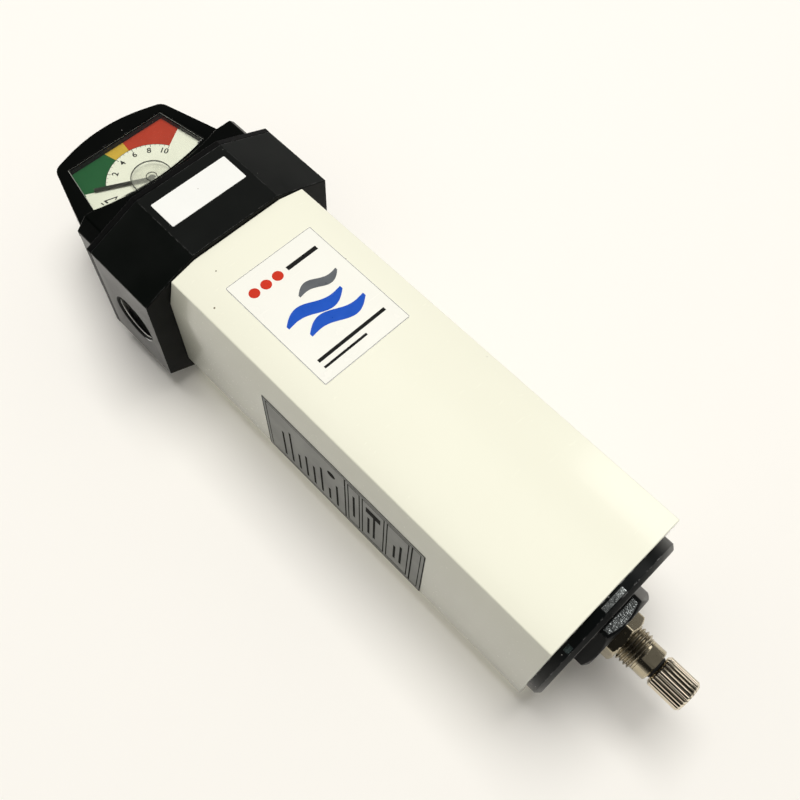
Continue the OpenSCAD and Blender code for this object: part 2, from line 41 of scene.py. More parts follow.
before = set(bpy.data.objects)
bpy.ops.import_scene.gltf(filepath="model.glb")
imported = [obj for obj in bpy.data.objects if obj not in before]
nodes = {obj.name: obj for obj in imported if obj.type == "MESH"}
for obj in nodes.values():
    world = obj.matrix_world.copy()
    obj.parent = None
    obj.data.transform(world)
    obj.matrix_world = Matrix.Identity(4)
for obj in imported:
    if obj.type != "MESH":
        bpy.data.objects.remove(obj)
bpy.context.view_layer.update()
mm = 0.001
print("frame loaded with", len(nodes), "nodes")


def nodeBox(name):
    low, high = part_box(name)
    return np.array(low) / mm, np.array(high) / mm


cameraLook = {
    "place": (-111.03, -314.33, -202.0),
    "turn": -20.624,  # degrees about Z, from looking along +Y
    "rise": 17.600,  # degrees above level
    "roll": -46.969,  # degrees about the line of sight
    "lens": 42.416,
}


def makeCamera(look):
    turn, rise, roll = (math.radians(look[k]) for k in ("turn", "rise", "roll"))
    ahead = Vector((-math.sin(turn) * math.cos(rise), math.cos(turn) * math.cos(rise), math.sin(rise)))
    right = ahead.cross(Vector((0, 0, 1))).normalized()
    up = right.cross(ahead)
    tilted = right * math.cos(roll) + up * math.sin(roll)
    upright = up * math.cos(roll) - right * math.sin(roll)
    data = bpy.data.cameras.new("camera")
    data.lens = look["lens"]
    data.sensor_width = 36
    data.clip_start = 0.01
    data.clip_end = 50
    camera = bpy.data.objects.new("camera", data)
    bpy.context.scene.collection.objects.link(camera)
    axes = Matrix((tilted, upright, -ahead)).transposed().to_4x4()
    camera.matrix_world = Matrix.Translation(Vector(look["place"]) * mm) @ axes
    bpy.context.scene.camera = camera


makeCamera(cameraLook)

scene = bpy.context.scene
scene.view_settings.view_transform = "Standard"


def put(tree, kind, values=None, **settings):
    # one node, with its settings and the starting values of its sockets
    node = tree.nodes.new(kind)
    for key, value in settings.items():
        setattr(node, key, value)
    for key, value in (values or {}).items():
        node.inputs[key].default_value = value
    return node


def wire(tree, source, target):
    tree.links.new(source, target)


def blendColours(tree, mask, first, second):
    # mixes two colours, or a socket and a colour, by a mask
    node = put(tree, "ShaderNodeMix", data_type="RGBA")
    for socket, value in ((node.inputs[0], mask), (node.inputs[6], first), (node.inputs[7], second)):
        if isinstance(value, bpy.types.NodeSocket):
            wire(tree, value, socket)
        elif isinstance(value, (int, float)):
            socket.default_value = value
        else:
            socket.default_value = (*value, 1)
    return node.outputs[2]


def sums(tree, kind, first, second, clamp=False):
    node = put(tree, "ShaderNodeMath", operation=kind, use_clamp=clamp)
    for socket, value in ((node.inputs[0], first), (node.inputs[1], second)):
        if isinstance(value, bpy.types.NodeSocket):
            wire(tree, value, socket)
        else:
            socket.default_value = value
    return node.outputs[0]


def spread(tree, source, low, high, outLow=0.0, outHigh=1.0):
    limits = {"From Min": low, "From Max": high, "To Min": outLow, "To Max": outHigh}
    node = put(tree, "ShaderNodeMapRange", limits)
    wire(tree, source, node.inputs["Value"])
    return node.outputs["Result"]


def mixShaders(tree, mask, first, second):
    mix = put(tree, "ShaderNodeMixShader")
    for socket, source in zip(mix.inputs, (mask, first, second)):
        wire(tree, source, socket)
    return mix.outputs[0]


def emptyMaterial(name):
    # a material with nothing in its tree but the output
    material = bpy.data.materials.new(name)
    material.use_nodes = True
    tree = material.node_tree
    tree.nodes.clear()
    return material, tree, put(tree, "ShaderNodeOutputMaterial")


worldLook = {
    "background": (1.0, 0.985, 0.95),
    "light": 0.31,  # how brightly the room lights the object
    "leftReflection": 0.02,  # what gloss sees in front of the object, on its left
    "rightReflection": 0.20,  # and on its right
    "farShare": 0.35,  # how much of that is left at the far right
    "backReflection": 0.95,  # what gloss sees behind the object
}


def makeWorld(look):
    world = bpy.data.worlds.new("paleRoom")
    scene.world = world
    world.use_nodes = True
    tree = world.node_tree
    tree.nodes.clear()
    out = put(tree, "ShaderNodeOutputWorld")
    path = put(tree, "ShaderNodeLightPath")
    place = put(tree, "ShaderNodeTexCoord")
    parts = put(tree, "ShaderNodeSeparateXYZ")
    wire(tree, place.outputs["Generated"], parts.inputs[0])
    room = put(tree, "ShaderNodeBackground", {"Color": (*look["background"], 1), "Strength": look["light"]})
    seen = put(tree, "ShaderNodeBackground", {"Color": (*look["background"], 1), "Strength": 1.0})
    mirrored = put(tree, "ShaderNodeBackground", {"Color": (*look["background"], 1)})
    front = spread(tree, parts.outputs["X"], -0.25, 0.30, look["leftReflection"], look["rightReflection"])
    front = sums(tree, "MULTIPLY", front, spread(tree, parts.outputs["X"], 0.42, 0.75, 1.0, look["farShare"]))
    behind = spread(tree, parts.outputs["Y"], -0.3, 0.25, 0.0, look["backReflection"])
    wire(tree, sums(tree, "MAXIMUM", front, behind), mirrored.inputs["Strength"])
    # a mirrored ray that has passed through the window still sees the mirrored room
    crossed, depth = path.outputs["Is Transmission Ray"], path.outputs["Glossy Depth"]
    throughWindow = sums(tree, "MULTIPLY", crossed, depth, clamp=True)
    anyGloss = sums(tree, "MAXIMUM", path.outputs["Is Glossy Ray"], throughWindow)
    glossy = mixShaders(tree, anyGloss, room.outputs[0], mirrored.outputs[0])
    direct = mixShaders(tree, path.outputs["Is Camera Ray"], glossy, seen.outputs[0])
    wire(tree, direct, out.inputs["Surface"])


makeWorld(worldLook)

lampColour = (1.0, 0.99, 0.97)
lampTarget = (0, 0, -100)  # every lamp looks at this point
lampLooks = {
    # the soft box above the front lights the object but isn't mirrored in its flat faces
    "keyLamp": {
        "place": (270, -2040, 190), "wide": 1300, "high": 1300, "watts": 35.5,
        "mirrored": False, "lights": True,
    },
    # the panel low on the right lights nothing; the drain and the right of the bowl mirror it
    "metalLamp": {
        "place": (996, -836, -380), "wide": 620, "high": 800, "watts": 3.0, "mirrored": True, "lights": False,
    },
    "rearLamp": {
        "place": (300, 1500, 300), "wide": 1300, "high": 1300, "watts": 8.0, "mirrored": True, "lights": True,
    },
}


def makeLamp(name, look):
    data = bpy.data.lights.new(name, "AREA")
    data.shape = "RECTANGLE"
    data.size = look["wide"] * mm
    data.size_y = look["high"] * mm
    data.energy = look["watts"]
    data.color = lampColour
    lamp = bpy.data.objects.new(name, data)
    scene.collection.objects.link(lamp)
    lamp.visible_glossy = look["mirrored"]
    lamp.visible_transmission = look["mirrored"]
    lamp.visible_diffuse = look["lights"]
    lamp.visible_camera = False
    place = Vector(look["place"]) * mm
    aim = (Vector(lampTarget) * mm - place).to_track_quat("-Z", "Y")
    lamp.matrix_world = Matrix.Translation(place) @ aim.to_matrix().to_4x4()


for lampName, lampLook in lampLooks.items():
    makeLamp(lampName, lampLook)

floorLook = {
    "colour": (1.0, 0.975, 0.925),
    "shade": 0.975,  # how bright the darker clouds are beside it
    "clouds": 3.0,
    "gap": 0.05,
    "half": 900,
    "middle": (0, 36, -100),
    "fade": (420, 800),  # the distances from the middle between which it fades away
}


def makeFloor(look):
    # the filter lies on its back on a pale surface, which only shows from the object's side
    y = (nodeBox("head")[1][1] + look["gap"]) * mm
    h = look["half"] * mm
    mesh = bpy.data.meshes.new("paleSurface")
    mesh.from_pydata([(-h, y, -h), (h, y, -h), (h, y, h), (-h, y, h)], [], [(0, 1, 2, 3)])
    floor = bpy.data.objects.new("paleSurface", mesh)
    scene.collection.objects.link(floor)
    material, tree, out = emptyMaterial("palePaper")
    paper = put(tree, "ShaderNodeBsdfDiffuse", {"Roughness": 0.0})
    place = put(tree, "ShaderNodeTexCoord")
    cloud = put(tree, "ShaderNodeTexNoise", {"Scale": look["clouds"], "Detail": 3.0})
    wire(tree, place.outputs["Object"], cloud.inputs["Vector"])
    darker = tuple(c * look["shade"] for c in look["colour"])
    wire(tree, blendColours(tree, cloud.outputs["Fac"], look["colour"], darker), paper.inputs["Color"])
    clear = put(tree, "ShaderNodeBsdfTransparent")
    path = put(tree, "ShaderNodeLightPath")
    shape = put(tree, "ShaderNodeNewGeometry")
    through = sums(tree, "MAXIMUM", path.outputs["Is Shadow Ray"], path.outputs["Is Diffuse Ray"])
    through = sums(tree, "MAXIMUM", through, shape.outputs["Backfacing"])
    # far from the object the surface fades into the white room
    offset = put(tree, "ShaderNodeVectorMath", {1: Vector(look["middle"]) * mm}, operation="SUBTRACT")
    wire(tree, place.outputs["Object"], offset.inputs[0])
    reach = put(tree, "ShaderNodeVectorMath", operation="LENGTH")
    wire(tree, offset.outputs[0], reach.inputs[0])
    near, far = look["fade"]
    through = sums(tree, "MAXIMUM", through, spread(tree, reach.outputs["Value"], near * mm, far * mm))
    wire(tree, mixShaders(tree, through, paper.outputs[0], clear.outputs[0]), out.inputs["Surface"])
    mesh.materials.append(material)


makeFloor(floorLook)
print("camera, light and floor made")


def newGroup(name, takes, gives):
    tree = bpy.data.node_groups.new(name, "ShaderNodeTree")
    for label, kind, value in takes:
        socket = tree.interface.new_socket(name=label, in_out="INPUT", socket_type=kind)
        if value is not None:
            socket.default_value = value
    for label, kind in gives:
        tree.interface.new_socket(name=label, in_out="OUTPUT", socket_type=kind)
    return tree, put(tree, "NodeGroupInput"), put(tree, "NodeGroupOutput")


number, vector = "NodeSocketFloat", "NodeSocketVector"


def makeGrainGroup():
    # a fine noise for the bump, and a broad one for slow changes of tone
    tree, takes, gives = newGroup(
        "surfaceGrain",
        [("Vector", vector, None), ("Fine", number, 1500.0), ("Broad", number, 30.0)],
        [("Height", number), ("Tone", number)],
    )
    fine = put(tree, "ShaderNodeTexNoise", {"Detail": 3.0, "Roughness": 0.55})
    broad = put(tree, "ShaderNodeTexNoise", {"Detail": 4.0, "Roughness": 0.6})
    for node, size in ((fine, "Fine"), (broad, "Broad")):
        wire(tree, takes.outputs["Vector"], node.inputs["Vector"])
        wire(tree, takes.outputs[size], node.inputs["Scale"])
    wire(tree, fine.outputs["Fac"], gives.inputs["Height"])
    wire(tree, spread(tree, broad.outputs["Fac"], 0.3, 0.7), gives.inputs["Tone"])
    return tree


def makeWearGroup():
    # where the rounded normal leaves the real one there is an edge; noise breaks the mask into patches
    tree, takes, gives = newGroup(
        "edgeWear",
        [("Vector", vector, None), ("Radius", number, 0.0006),
         ("Patches", number, 400.0), ("Amount", number, 0.5)],
        [("Mask", number)],
    )
    rounded = put(tree, "ShaderNodeBevel", samples=4)
    wire(tree, takes.outputs["Radius"], rounded.inputs["Radius"])
    shape = put(tree, "ShaderNodeNewGeometry")
    match = put(tree, "ShaderNodeVectorMath", operation="DOT_PRODUCT")
    wire(tree, rounded.outputs[0], match.inputs[0])
    wire(tree, shape.outputs["Normal"], match.inputs[1])
    edge = spread(tree, match.outputs["Value"], 0.985, 0.86)
    patches = put(tree, "ShaderNodeTexNoise", {"Detail": 4.0, "Roughness": 0.65})
    wire(tree, takes.outputs["Vector"], patches.inputs["Vector"])
    wire(tree, takes.outputs["Patches"], patches.inputs["Scale"])
    limit = sums(tree, "SUBTRACT", 1.0, takes.outputs["Amount"])
    over = sums(tree, "SUBTRACT", patches.outputs["Fac"], sums(tree, "MULTIPLY", limit, 0.7))
    mask = sums(tree, "MULTIPLY", edge, sums(tree, "MULTIPLY", over, 9.0, clamp=True), clamp=True)
    wire(tree, mask, gives.inputs["Mask"])
    return tree


def makeSpeckGroup():
    # small dots: the heart of a cell counts where the cell's own random value is below the share
    tree, takes, gives = newGroup(
        "strayDots",
        [("Vector", vector, None), ("Density", number, 300.0), ("Size", number, 0.1), ("Share", number, 0.1)],
        [("Mask", number)],
    )
    cells = put(tree, "ShaderNodeTexVoronoi", {"Randomness": 1.0})
    wire(tree, takes.outputs["Vector"], cells.inputs["Vector"])
    wire(tree, takes.outputs["Density"], cells.inputs["Scale"])
    near = sums(tree, "LESS_THAN", cells.outputs["Distance"], takes.outputs["Size"])
    parts = put(tree, "ShaderNodeSeparateColor")
    wire(tree, cells.outputs["Color"], parts.inputs[0])
    chosen = sums(tree, "LESS_THAN", parts.outputs[0], takes.outputs["Share"])
    wire(tree, sums(tree, "MULTIPLY", near, chosen), gives.inputs["Mask"])
    return tree


def makeScratchGroup():
    # noise drawn out along one direction leaves hair lines
    tree, takes, gives = newGroup(
        "hairLines",
        [("Vector", vector, None), ("Density", number, 60.0),
         ("Turn", vector, (0.4, 0.9, 0.3)), ("Amount", number, 0.3)],
        [("Mask", number)],
    )
    turned = put(tree, "ShaderNodeMapping", {"Scale": (1.0, 14.0, 14.0)})
    wire(tree, takes.outputs["Vector"], turned.inputs["Vector"])
    wire(tree, takes.outputs["Turn"], turned.inputs["Rotation"])
    lines = put(tree, "ShaderNodeTexNoise", {"Detail": 2.0, "Roughness": 0.7})
    wire(tree, turned.outputs[0], lines.inputs["Vector"])
    wire(tree, takes.outputs["Density"], lines.inputs["Scale"])
    strong = spread(tree, lines.outputs["Fac"], 0.66, 0.74)
    wire(tree, sums(tree, "MULTIPLY", strong, takes.outputs["Amount"]), gives.inputs["Mask"])
    return tree


groups = {
    "grain": makeGrainGroup(),
    "wear": makeWearGroup(),
    "dots": makeSpeckGroup(),
    "lines": makeScratchGroup(),
}


def useGroup(tree, kind, place, **values):
    node = put(tree, "ShaderNodeGroup", node_tree=groups[kind])
    wire(tree, place, node.inputs["Vector"])
    for key, value in values.items():
        node.inputs[key].default_value = value
    return node


# what the printed colours of the labels and of the dial have in common
labelInk = {"rough": (0.26, 0.36), "specular": 0.45, "fine": 3500, "broad": 200, "depth": 0.003, "bump": 0.2}
dialInk = {"rough": (0.5, 0.6), "specular": 0.3, "fine": 4500, "broad": 350, "depth": 0.004, "bump": 0.25}

finishes = {
    "headCoat": {
        "colour": (0.0025, 0.0034, 0.0028), "second": (0.005, 0.006, 0.0052), "rough": (0.28, 0.38),
        # the edge wear is set high so the edges show pale lines: partly wear, partly painted edge highlight
        "specular": 0.42, "fine": 1700, "broad": 45, "depth": 0.012, "bump": 0.35, "wear": 0.38,
        "bare": (0.30, 0.30, 0.29), "dots": (420, 0.10, 0.05), "dotColour": (0.35, 0.36, 0.34),
        "lines": 0.25,
    },
    # the head's black with little gloss, for faces that face down and for the port mouths: a rough cast skin
    # and painted shade
    "shadedUnderside": {
        "colour": (0.0022, 0.0028, 0.0024), "second": (0.004, 0.0046, 0.0042), "rough": (0.45, 0.6),
        "specular": 0.10, "fine": 1300, "broad": 60, "depth": 0.02, "bump": 0.5, "dots": (420, 0.10, 0.05),
        "dotColour": (0.2, 0.2, 0.19),
    },
    "capCoat": {
        "colour": (0.0025, 0.0034, 0.0034), "second": (0.006, 0.0068, 0.0066), "rough": (0.26, 0.40),
        "specular": 0.13, "fine": 1300, "broad": 80, "depth": 0.02, "bump": 0.5, "wear": 0.26,
        "bare": (0.34, 0.34, 0.33), "dots": (500, 0.10, 0.06), "dotColour": (0.4, 0.4, 0.38), "lines": 0.2,
    },
    "gaugeNylon": {
        "colour": (0.001, 0.0014, 0.0011), "second": (0.0022, 0.0028, 0.0023), "rough": (0.16, 0.26),
        "specular": 0.12, "fine": 2600, "broad": 35, "depth": 0.006, "bump": 0.25, "wear": 0.14,
        "bare": (0.16, 0.16, 0.16), "dots": (380, 0.08, 0.05), "dotColour": (0.3, 0.3, 0.28), "lines": 0.3,
    },
    "plateRubber": {
        "colour": (0.002, 0.002, 0.002), "second": (0.004, 0.004, 0.004), "rough": (0.5, 0.62),
        "specular": 0.3, "fine": 3000, "broad": 90, "depth": 0.01, "bump": 0.5, "dots": (500, 0.1, 0.08),
        "dotColour": (0.2, 0.2, 0.19),
    },
    "bowlCoat": {
        "colour": (0.950, 0.940, 0.785), "second": (0.930, 0.920, 0.765), "rough": (0.17, 0.27),
        "specular": 0.5, "coat": 0.35, "fine": 700, "broad": 14, "depth": 0.01, "bump": 0.18, "wear": 0.10,
        "bare": (0.42, 0.41, 0.36), "dots": (110, 0.04, 0.22), "dotColour": (0.22, 0.19, 0.13),
        "lines": 0.35,
    },
    "headVinyl": {
        "colour": (0.95, 0.95, 0.91), "second": (0.92, 0.92, 0.88), "rough": (0.30, 0.42), "specular": 0.45,
        "fine": 1400, "broad": 60, "depth": 0.006, "bump": 0.2, "dots": (260, 0.05, 0.12),
        "dotColour": (0.4, 0.38, 0.33), "lines": 0.3,
    },
    "stickerVinyl": {
        "colour": (0.96, 0.95, 0.87), "second": (0.94, 0.93, 0.85), "rough": (0.20, 0.30), "specular": 0.5,
        "fine": 1200, "broad": 40, "depth": 0.006, "bump": 0.2, "dots": (160, 0.04, 0.12),
        "dotColour": (0.45, 0.42, 0.34), "lines": 0.3,
    },
    "plateFoil": {
        "colour": (0.205, 0.21, 0.19), "second": (0.17, 0.175, 0.16), "rough": (0.34, 0.46),
        "specular": 0.5, "metal": 0.15, "fine": 2200, "broad": 55, "depth": 0.006, "bump": 0.3,
        "dots": (300, 0.06, 0.1), "dotColour": (0.12, 0.12, 0.11), "lines": 0.4,
    },
    "dialCard": {
        "colour": (0.99, 0.985, 0.84), "second": (0.96, 0.955, 0.81), "rough": (0.55, 0.68),
        "specular": 0.3, "fine": 3500, "broad": 70, "depth": 0.008, "bump": 0.3, "dots": (500, 0.06, 0.05),
        "dotColour": (0.5, 0.48, 0.38),
    },
    "inkGreen": {"colour": (0.010, 0.104, 0.030), "second": (0.015, 0.120, 0.036), **dialInk},
    "inkYellow": {"colour": (0.74, 0.48, 0.055), "second": (0.66, 0.42, 0.05), **dialInk},
    "inkRed": {"colour": (0.56, 0.050, 0.020), "second": (0.50, 0.042, 0.017), **dialInk},
    "inkGrey": {
        "colour": (0.016, 0.016, 0.014), "second": (0.026, 0.026, 0.022), "rough": (0.5, 0.6),
        "specular": 0.3, "fine": 4500, "broad": 500, "depth": 0.003, "bump": 0.2,
    },
    "labelRed": {"colour": (0.66, 0.036, 0.012), "second": (0.60, 0.030, 0.010), **labelInk},
    "labelBlue": {"colour": (0.006, 0.080, 0.50), "second": (0.010, 0.095, 0.56), **labelInk},
    "labelGrey": {"colour": (0.11, 0.12, 0.13), "second": (0.14, 0.15, 0.16), **labelInk},
    "labelBlack": {"colour": (0.006, 0.006, 0.006), "second": (0.012, 0.012, 0.011), **labelInk},
    "plateInk": {
        "colour": (0.002, 0.002, 0.002), "second": (0.005, 0.005, 0.004), "rough": (0.6, 0.75),
        "specular": 0.04, "fine": 3500, "broad": 200, "depth": 0.003, "bump": 0.2,
    },
    # bright metal used only for the inner sliver of each port mouth: a painted highlight
    "paintedRimHighlight": {
        "colour": (0.78, 0.78, 0.74), "second": (0.60, 0.60, 0.57), "rough": (0.35, 0.5), "metal": 0.3,
        "fine": 2600, "broad": 300, "depth": 0.006, "bump": 0.3, "lines": 0.3,
    },
    "needleEnamel": {
        "colour": (0.022, 0.022, 0.016), "second": (0.034, 0.034, 0.026), "rough": (0.35, 0.5),
        "specular": 0.4, "fine": 3000, "broad": 200, "depth": 0.004, "bump": 0.2, "wear": 0.2,
        "bare": (0.2, 0.2, 0.18),
    },
    "drainNickel": {
        "colour": (0.52, 0.46, 0.34), "second": (0.40, 0.35, 0.25), "rough": (0.14, 0.24), "metal": 1.0,
        "fine": 2400, "broad": 200, "depth": 0.006, "bump": 0.2, "wear": 0.3, "bare": (0.80, 0.74, 0.60),
        "dots": (900, 0.16, 0.08), "dotColour": (0.20, 0.17, 0.11), "lines": 0.35,
    },
    "knobNickel": {
        "colour": (0.78, 0.71, 0.58), "second": (0.70, 0.62, 0.49), "rough": (0.10, 0.17), "metal": 1.0,
        "fine": 2400, "broad": 120, "depth": 0.0015, "bump": 0.08, "wear": 0.12, "bare": (0.55, 0.46, 0.30),
        "lines": 0.3,
    },
    "threadNickel": {
        "colour": (0.52, 0.47, 0.37), "second": (0.30, 0.26, 0.19), "rough": (0.18, 0.34), "metal": 1.0,
        "fine": 2600, "broad": 420, "depth": 0.012, "bump": 0.35, "dots": (1500, 0.25, 0.3),
        "dotColour": (0.14, 0.12, 0.08), "lines": 0.3,
    },
    # near-white metal flecks on the black cap: a painted glint where the stippled cast texture catches the
    # light
    "paintedGlintFlecks": {
        "colour": (0.90, 0.95, 0.94), "second": (0.03, 0.035, 0.035), "rough": (0.14, 0.34), "metal": 0.9,
        "fine": 2600, "broad": 1100, "depth": 0.05, "bump": 0.8,
    },
    # a dimmer copy of the glint flecks, for the weaker glint on the left of the rim: painted glint
    "dimPaintedGlintFlecks": {
        "colour": (0.10, 0.14, 0.14), "second": (0.01, 0.014, 0.014), "rough": (0.2, 0.4), "metal": 0.8,
        "fine": 2600, "broad": 1100, "depth": 0.05, "bump": 0.8,
    },
    # pale grey plastic for the strip along the window edge: a painted highlight of the lens bevel
    "paintedLensHighlight": {
        "colour": (0.50, 0.51, 0.46), "second": (0.36, 0.37, 0.33), "rough": (0.35, 0.5), "specular": 0.4,
        "fine": 3000, "broad": 160, "depth": 0.006, "bump": 0.3,
    },
    "portMetal": {
        "colour": (0.10, 0.10, 0.095), "second": (0.20, 0.20, 0.19), "rough": (0.25, 0.4), "metal": 0.9,
        "fine": 2200, "broad": 300, "depth": 0.015, "bump": 0.4, "dots": (900, 0.2, 0.2),
        "dotColour": (0.03, 0.03, 0.03),
    },
    "blackOxide": {
        "colour": (0.012, 0.012, 0.013), "second": (0.022, 0.022, 0.022), "rough": (0.32, 0.45),
        "metal": 0.4, "fine": 2200, "broad": 250, "depth": 0.01, "bump": 0.3, "wear": 0.3,
        "bare": (0.25, 0.25, 0.25),
    },
    "bareSteel": {
        "colour": (0.56, 0.57, 0.58), "second": (0.46, 0.47, 0.48), "rough": (0.22, 0.34), "metal": 1.0,
        "fine": 1900, "broad": 180, "depth": 0.008, "bump": 0.25, "wear": 0.15, "bare": (0.75, 0.75, 0.76),
        "lines": 0.4,
    },
    "turnedBrass": {
        "colour": (0.62, 0.42, 0.14), "second": (0.50, 0.33, 0.10), "rough": (0.2, 0.32), "metal": 1.0,
        "fine": 1900, "broad": 220, "depth": 0.008, "bump": 0.25, "lines": 0.4,
    },
    "sealRubber": {
        "colour": (0.012, 0.012, 0.012), "second": (0.022, 0.022, 0.021), "rough": (0.5, 0.65),
        "specular": 0.35, "fine": 3000, "broad": 200, "depth": 0.01, "bump": 0.4, "dots": (700, 0.12, 0.1),
        "dotColour": (0.1, 0.1, 0.1),
    },
    "endCapPlastic": {
        "colour": (0.018, 0.018, 0.020), "second": (0.028, 0.028, 0.030), "rough": (0.36, 0.48),
        "specular": 0.4, "fine": 1800, "broad": 80, "depth": 0.01, "bump": 0.3, "lines": 0.3,
    },
    "acetal": {
        "colour": (0.80, 0.80, 0.76), "second": (0.74, 0.74, 0.70), "rough": (0.38, 0.5), "specular": 0.45,
        "fine": 1500, "broad": 60, "depth": 0.01, "bump": 0.25, "lines": 0.3,
    },
    "glassFibre": {
        "colour": (0.86, 0.85, 0.80), "second": (0.74, 0.73, 0.68), "rough": (0.8, 0.95), "specular": 0.2,
        "fine": 2600, "broad": 300, "depth": 0.08, "bump": 0.9,
    },
    "blueFoam": {
        "colour": (0.06, 0.16, 0.42), "second": (0.03, 0.09, 0.28), "rough": (0.85, 0.98), "specular": 0.15,
        "fine": 1500, "broad": 500, "depth": 0.2, "bump": 1.0, "dots": (900, 0.25, 0.5),
        "dotColour": (0.01, 0.03, 0.12),
    },
    "ferrite": {
        "colour": (0.10, 0.10, 0.11), "second": (0.16, 0.16, 0.17), "rough": (0.4, 0.55), "metal": 0.6,
        "fine": 2200, "broad": 240, "depth": 0.01, "bump": 0.4, "wear": 0.3, "bare": (0.4, 0.4, 0.4),
    },
}


def makeFinish(name, look):
    material, tree, out = emptyMaterial(name)
    shader = put(tree, "ShaderNodeBsdfPrincipled")
    wire(tree, shader.outputs[0], out.inputs["Surface"])
    place = put(tree, "ShaderNodeTexCoord").outputs["Object"]
    grain = useGroup(tree, "grain", place, Fine=look["fine"], Broad=look["broad"])
    colour = blendColours(tree, grain.outputs["Tone"], look["colour"], look["second"])
    rough = spread(tree, grain.outputs["Tone"], 0.0, 1.0, *look["rough"])
    if "dots" in look:
        density, size, share = look["dots"]
        dots = useGroup(tree, "dots", place, Density=density, Size=size, Share=share)
        colour = blendColours(tree, dots.outputs["Mask"], colour, look["dotColour"])
    if "wear" in look:
        wear = useGroup(tree, "wear", place, Amount=look["wear"])
        colour = blendColours(tree, wear.outputs["Mask"], colour, look["bare"])
        rough = sums(tree, "ADD", rough, sums(tree, "MULTIPLY", wear.outputs["Mask"], 0.1))
    if "lines" in look:
        lines = useGroup(tree, "lines", place, Amount=look["lines"])
        rough = sums(tree, "ADD", rough, sums(tree, "MULTIPLY", lines.outputs["Mask"], 0.3))
    wire(tree, colour, shader.inputs["Base Color"])
    wire(tree, rough, shader.inputs["Roughness"])
    bump = put(tree, "ShaderNodeBump", {"Strength": look["bump"], "Distance": look["depth"] * mm})
    wire(tree, grain.outputs["Height"], bump.inputs["Height"])
    wire(tree, bump.outputs[0], shader.inputs["Normal"])
    shader.inputs["Metallic"].default_value = look.get("metal", 0.0)
    shader.inputs["Specular IOR Level"].default_value = look.get("specular", 0.5)
    if "coat" in look:
        shader.inputs["Coat Weight"].default_value = look["coat"]
        shader.inputs["Coat Roughness"].default_value = 0.08
    return material


paints = {name: makeFinish(name, look) for name, look in finishes.items()}


def makeWindowGlass():
    # light passes straight through for shadows, so the dial behind stays bright
    material, tree, out = emptyMaterial("windowGlass")
    shader = put(tree, "ShaderNodeBsdfPrincipled", {"Transmission Weight": 1.0, "Metallic": 0.0, "IOR": 1.46})
    place = put(tree, "ShaderNodeTexCoord").outputs["Object"]
    lines = useGroup(tree, "lines", place, Amount=0.12, Density=90.0)
    grain = useGroup(tree, "grain", place, Fine=900.0, Broad=60.0)
    tint = blendColours(tree, grain.outputs["Tone"], (0.98, 0.99, 0.97), (0.95, 0.97, 0.95))
    wire(tree, tint, shader.inputs["Base Color"])
    wire(tree, sums(tree, "ADD", lines.outputs["Mask"], 0.015), shader.inputs["Roughness"])
    clear = put(tree, "ShaderNodeBsdfTransparent", {"Color": (0.97, 0.98, 0.96, 1)})
    path = put(tree, "ShaderNodeLightPath")
    lit = sums(tree, "MAXIMUM", path.outputs["Is Shadow Ray"], path.outputs["Is Diffuse Ray"])
    wire(tree, mixShaders(tree, lit, shader.outputs[0], clear.outputs[0]), out.inputs["Surface"])
    return material


def makeHazeDisc():
    # the moulded cover over the middle of the pointer lets most of it show through
    material = bpy.data.materials.new("hubPlastic")
    material.use_nodes = True
    tree = material.node_tree
    shader = tree.nodes["Principled BSDF"]
    place = put(tree, "ShaderNodeTexCoord").outputs["Object"]
    grain = useGroup(tree, "grain", place, Fine=1800.0, Broad=120.0)
    tint = blendColours(tree, grain.outputs["Tone"], (0.90, 0.90, 0.80), (0.84, 0.84, 0.74))
    wire(tree, tint, shader.inputs["Base Color"])
    wire(tree, spread(tree, grain.outputs["Tone"], 0.0, 1.0, 0.2, 0.32), shader.inputs["Roughness"])
    wire(tree, spread(tree, grain.outputs["Tone"], 0.0, 1.0, 0.12, 0.20), shader.inputs["Alpha"])
    return material


paints["windowGlass"] = makeWindowGlass()
paints["hubPlastic"] = makeHazeDisc()
print(len(paints), "finishes made")


gridMerge, copyMerge = 1e-7, 2e-6  # metres within which points of a new grid or of a CAD copy are one


def shadeSmooth(mesh, sharp):
    # smooth shading up to the given angle
    mesh.polygons.foreach_set("use_smooth", np.ones(len(mesh.polygons), bool))
    mesh.set_sharp_from_angle(angle=math.radians(sharp))


def settle(mesh, outward=True, sharp=32):
    # merges doubles and turns the faces outwards
    shell = bmesh.new()
    shell.from_mesh(mesh)
    bmesh.ops.remove_doubles(shell, verts=shell.verts, dist=gridMerge)
    if outward:
        bmesh.ops.recalc_face_normals(shell, faces=shell.faces)
    shell.to_mesh(mesh)
    shell.free()
    shadeSmooth(mesh, sharp)
    mesh.update()


def gridMesh(name, points, closeRows=False, closeColumns=False, outward=True, sharp=32):
    # points is a grid of rows x columns x 3 in millimetres; each cell of the grid becomes a face
    rows, columns = points.shape[:2]
    index = np.arange(rows * columns).reshape(rows, columns)
    here = index if closeRows else index[:-1]
    below = np.roll(index, -1, 0) if closeRows else index[1:]
    if closeColumns:
        corners = [here, below, np.roll(below, -1, 1), np.roll(here, -1, 1)]
    else:
        corners = [here[:, :-1], below[:, :-1], below[:, 1:], here[:, 1:]]
    faces = np.stack(corners, -1).reshape(-1, 4)
    mesh = bpy.data.meshes.new(name)
    mesh.from_pydata((points.reshape(-1, 3) * mm).tolist(), [], faces.tolist())
    settle(mesh, outward, sharp=sharp)
    return mesh


def piece(name, mesh, paint, body, instead=()):
    thing = bpy.data.objects.new(name, mesh)
    scene.collection.objects.link(thing)
    mesh.materials.clear()
    mesh.materials.append(paints[paint])
    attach(thing, body)
    if instead:
        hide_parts(*instead)
    return thing


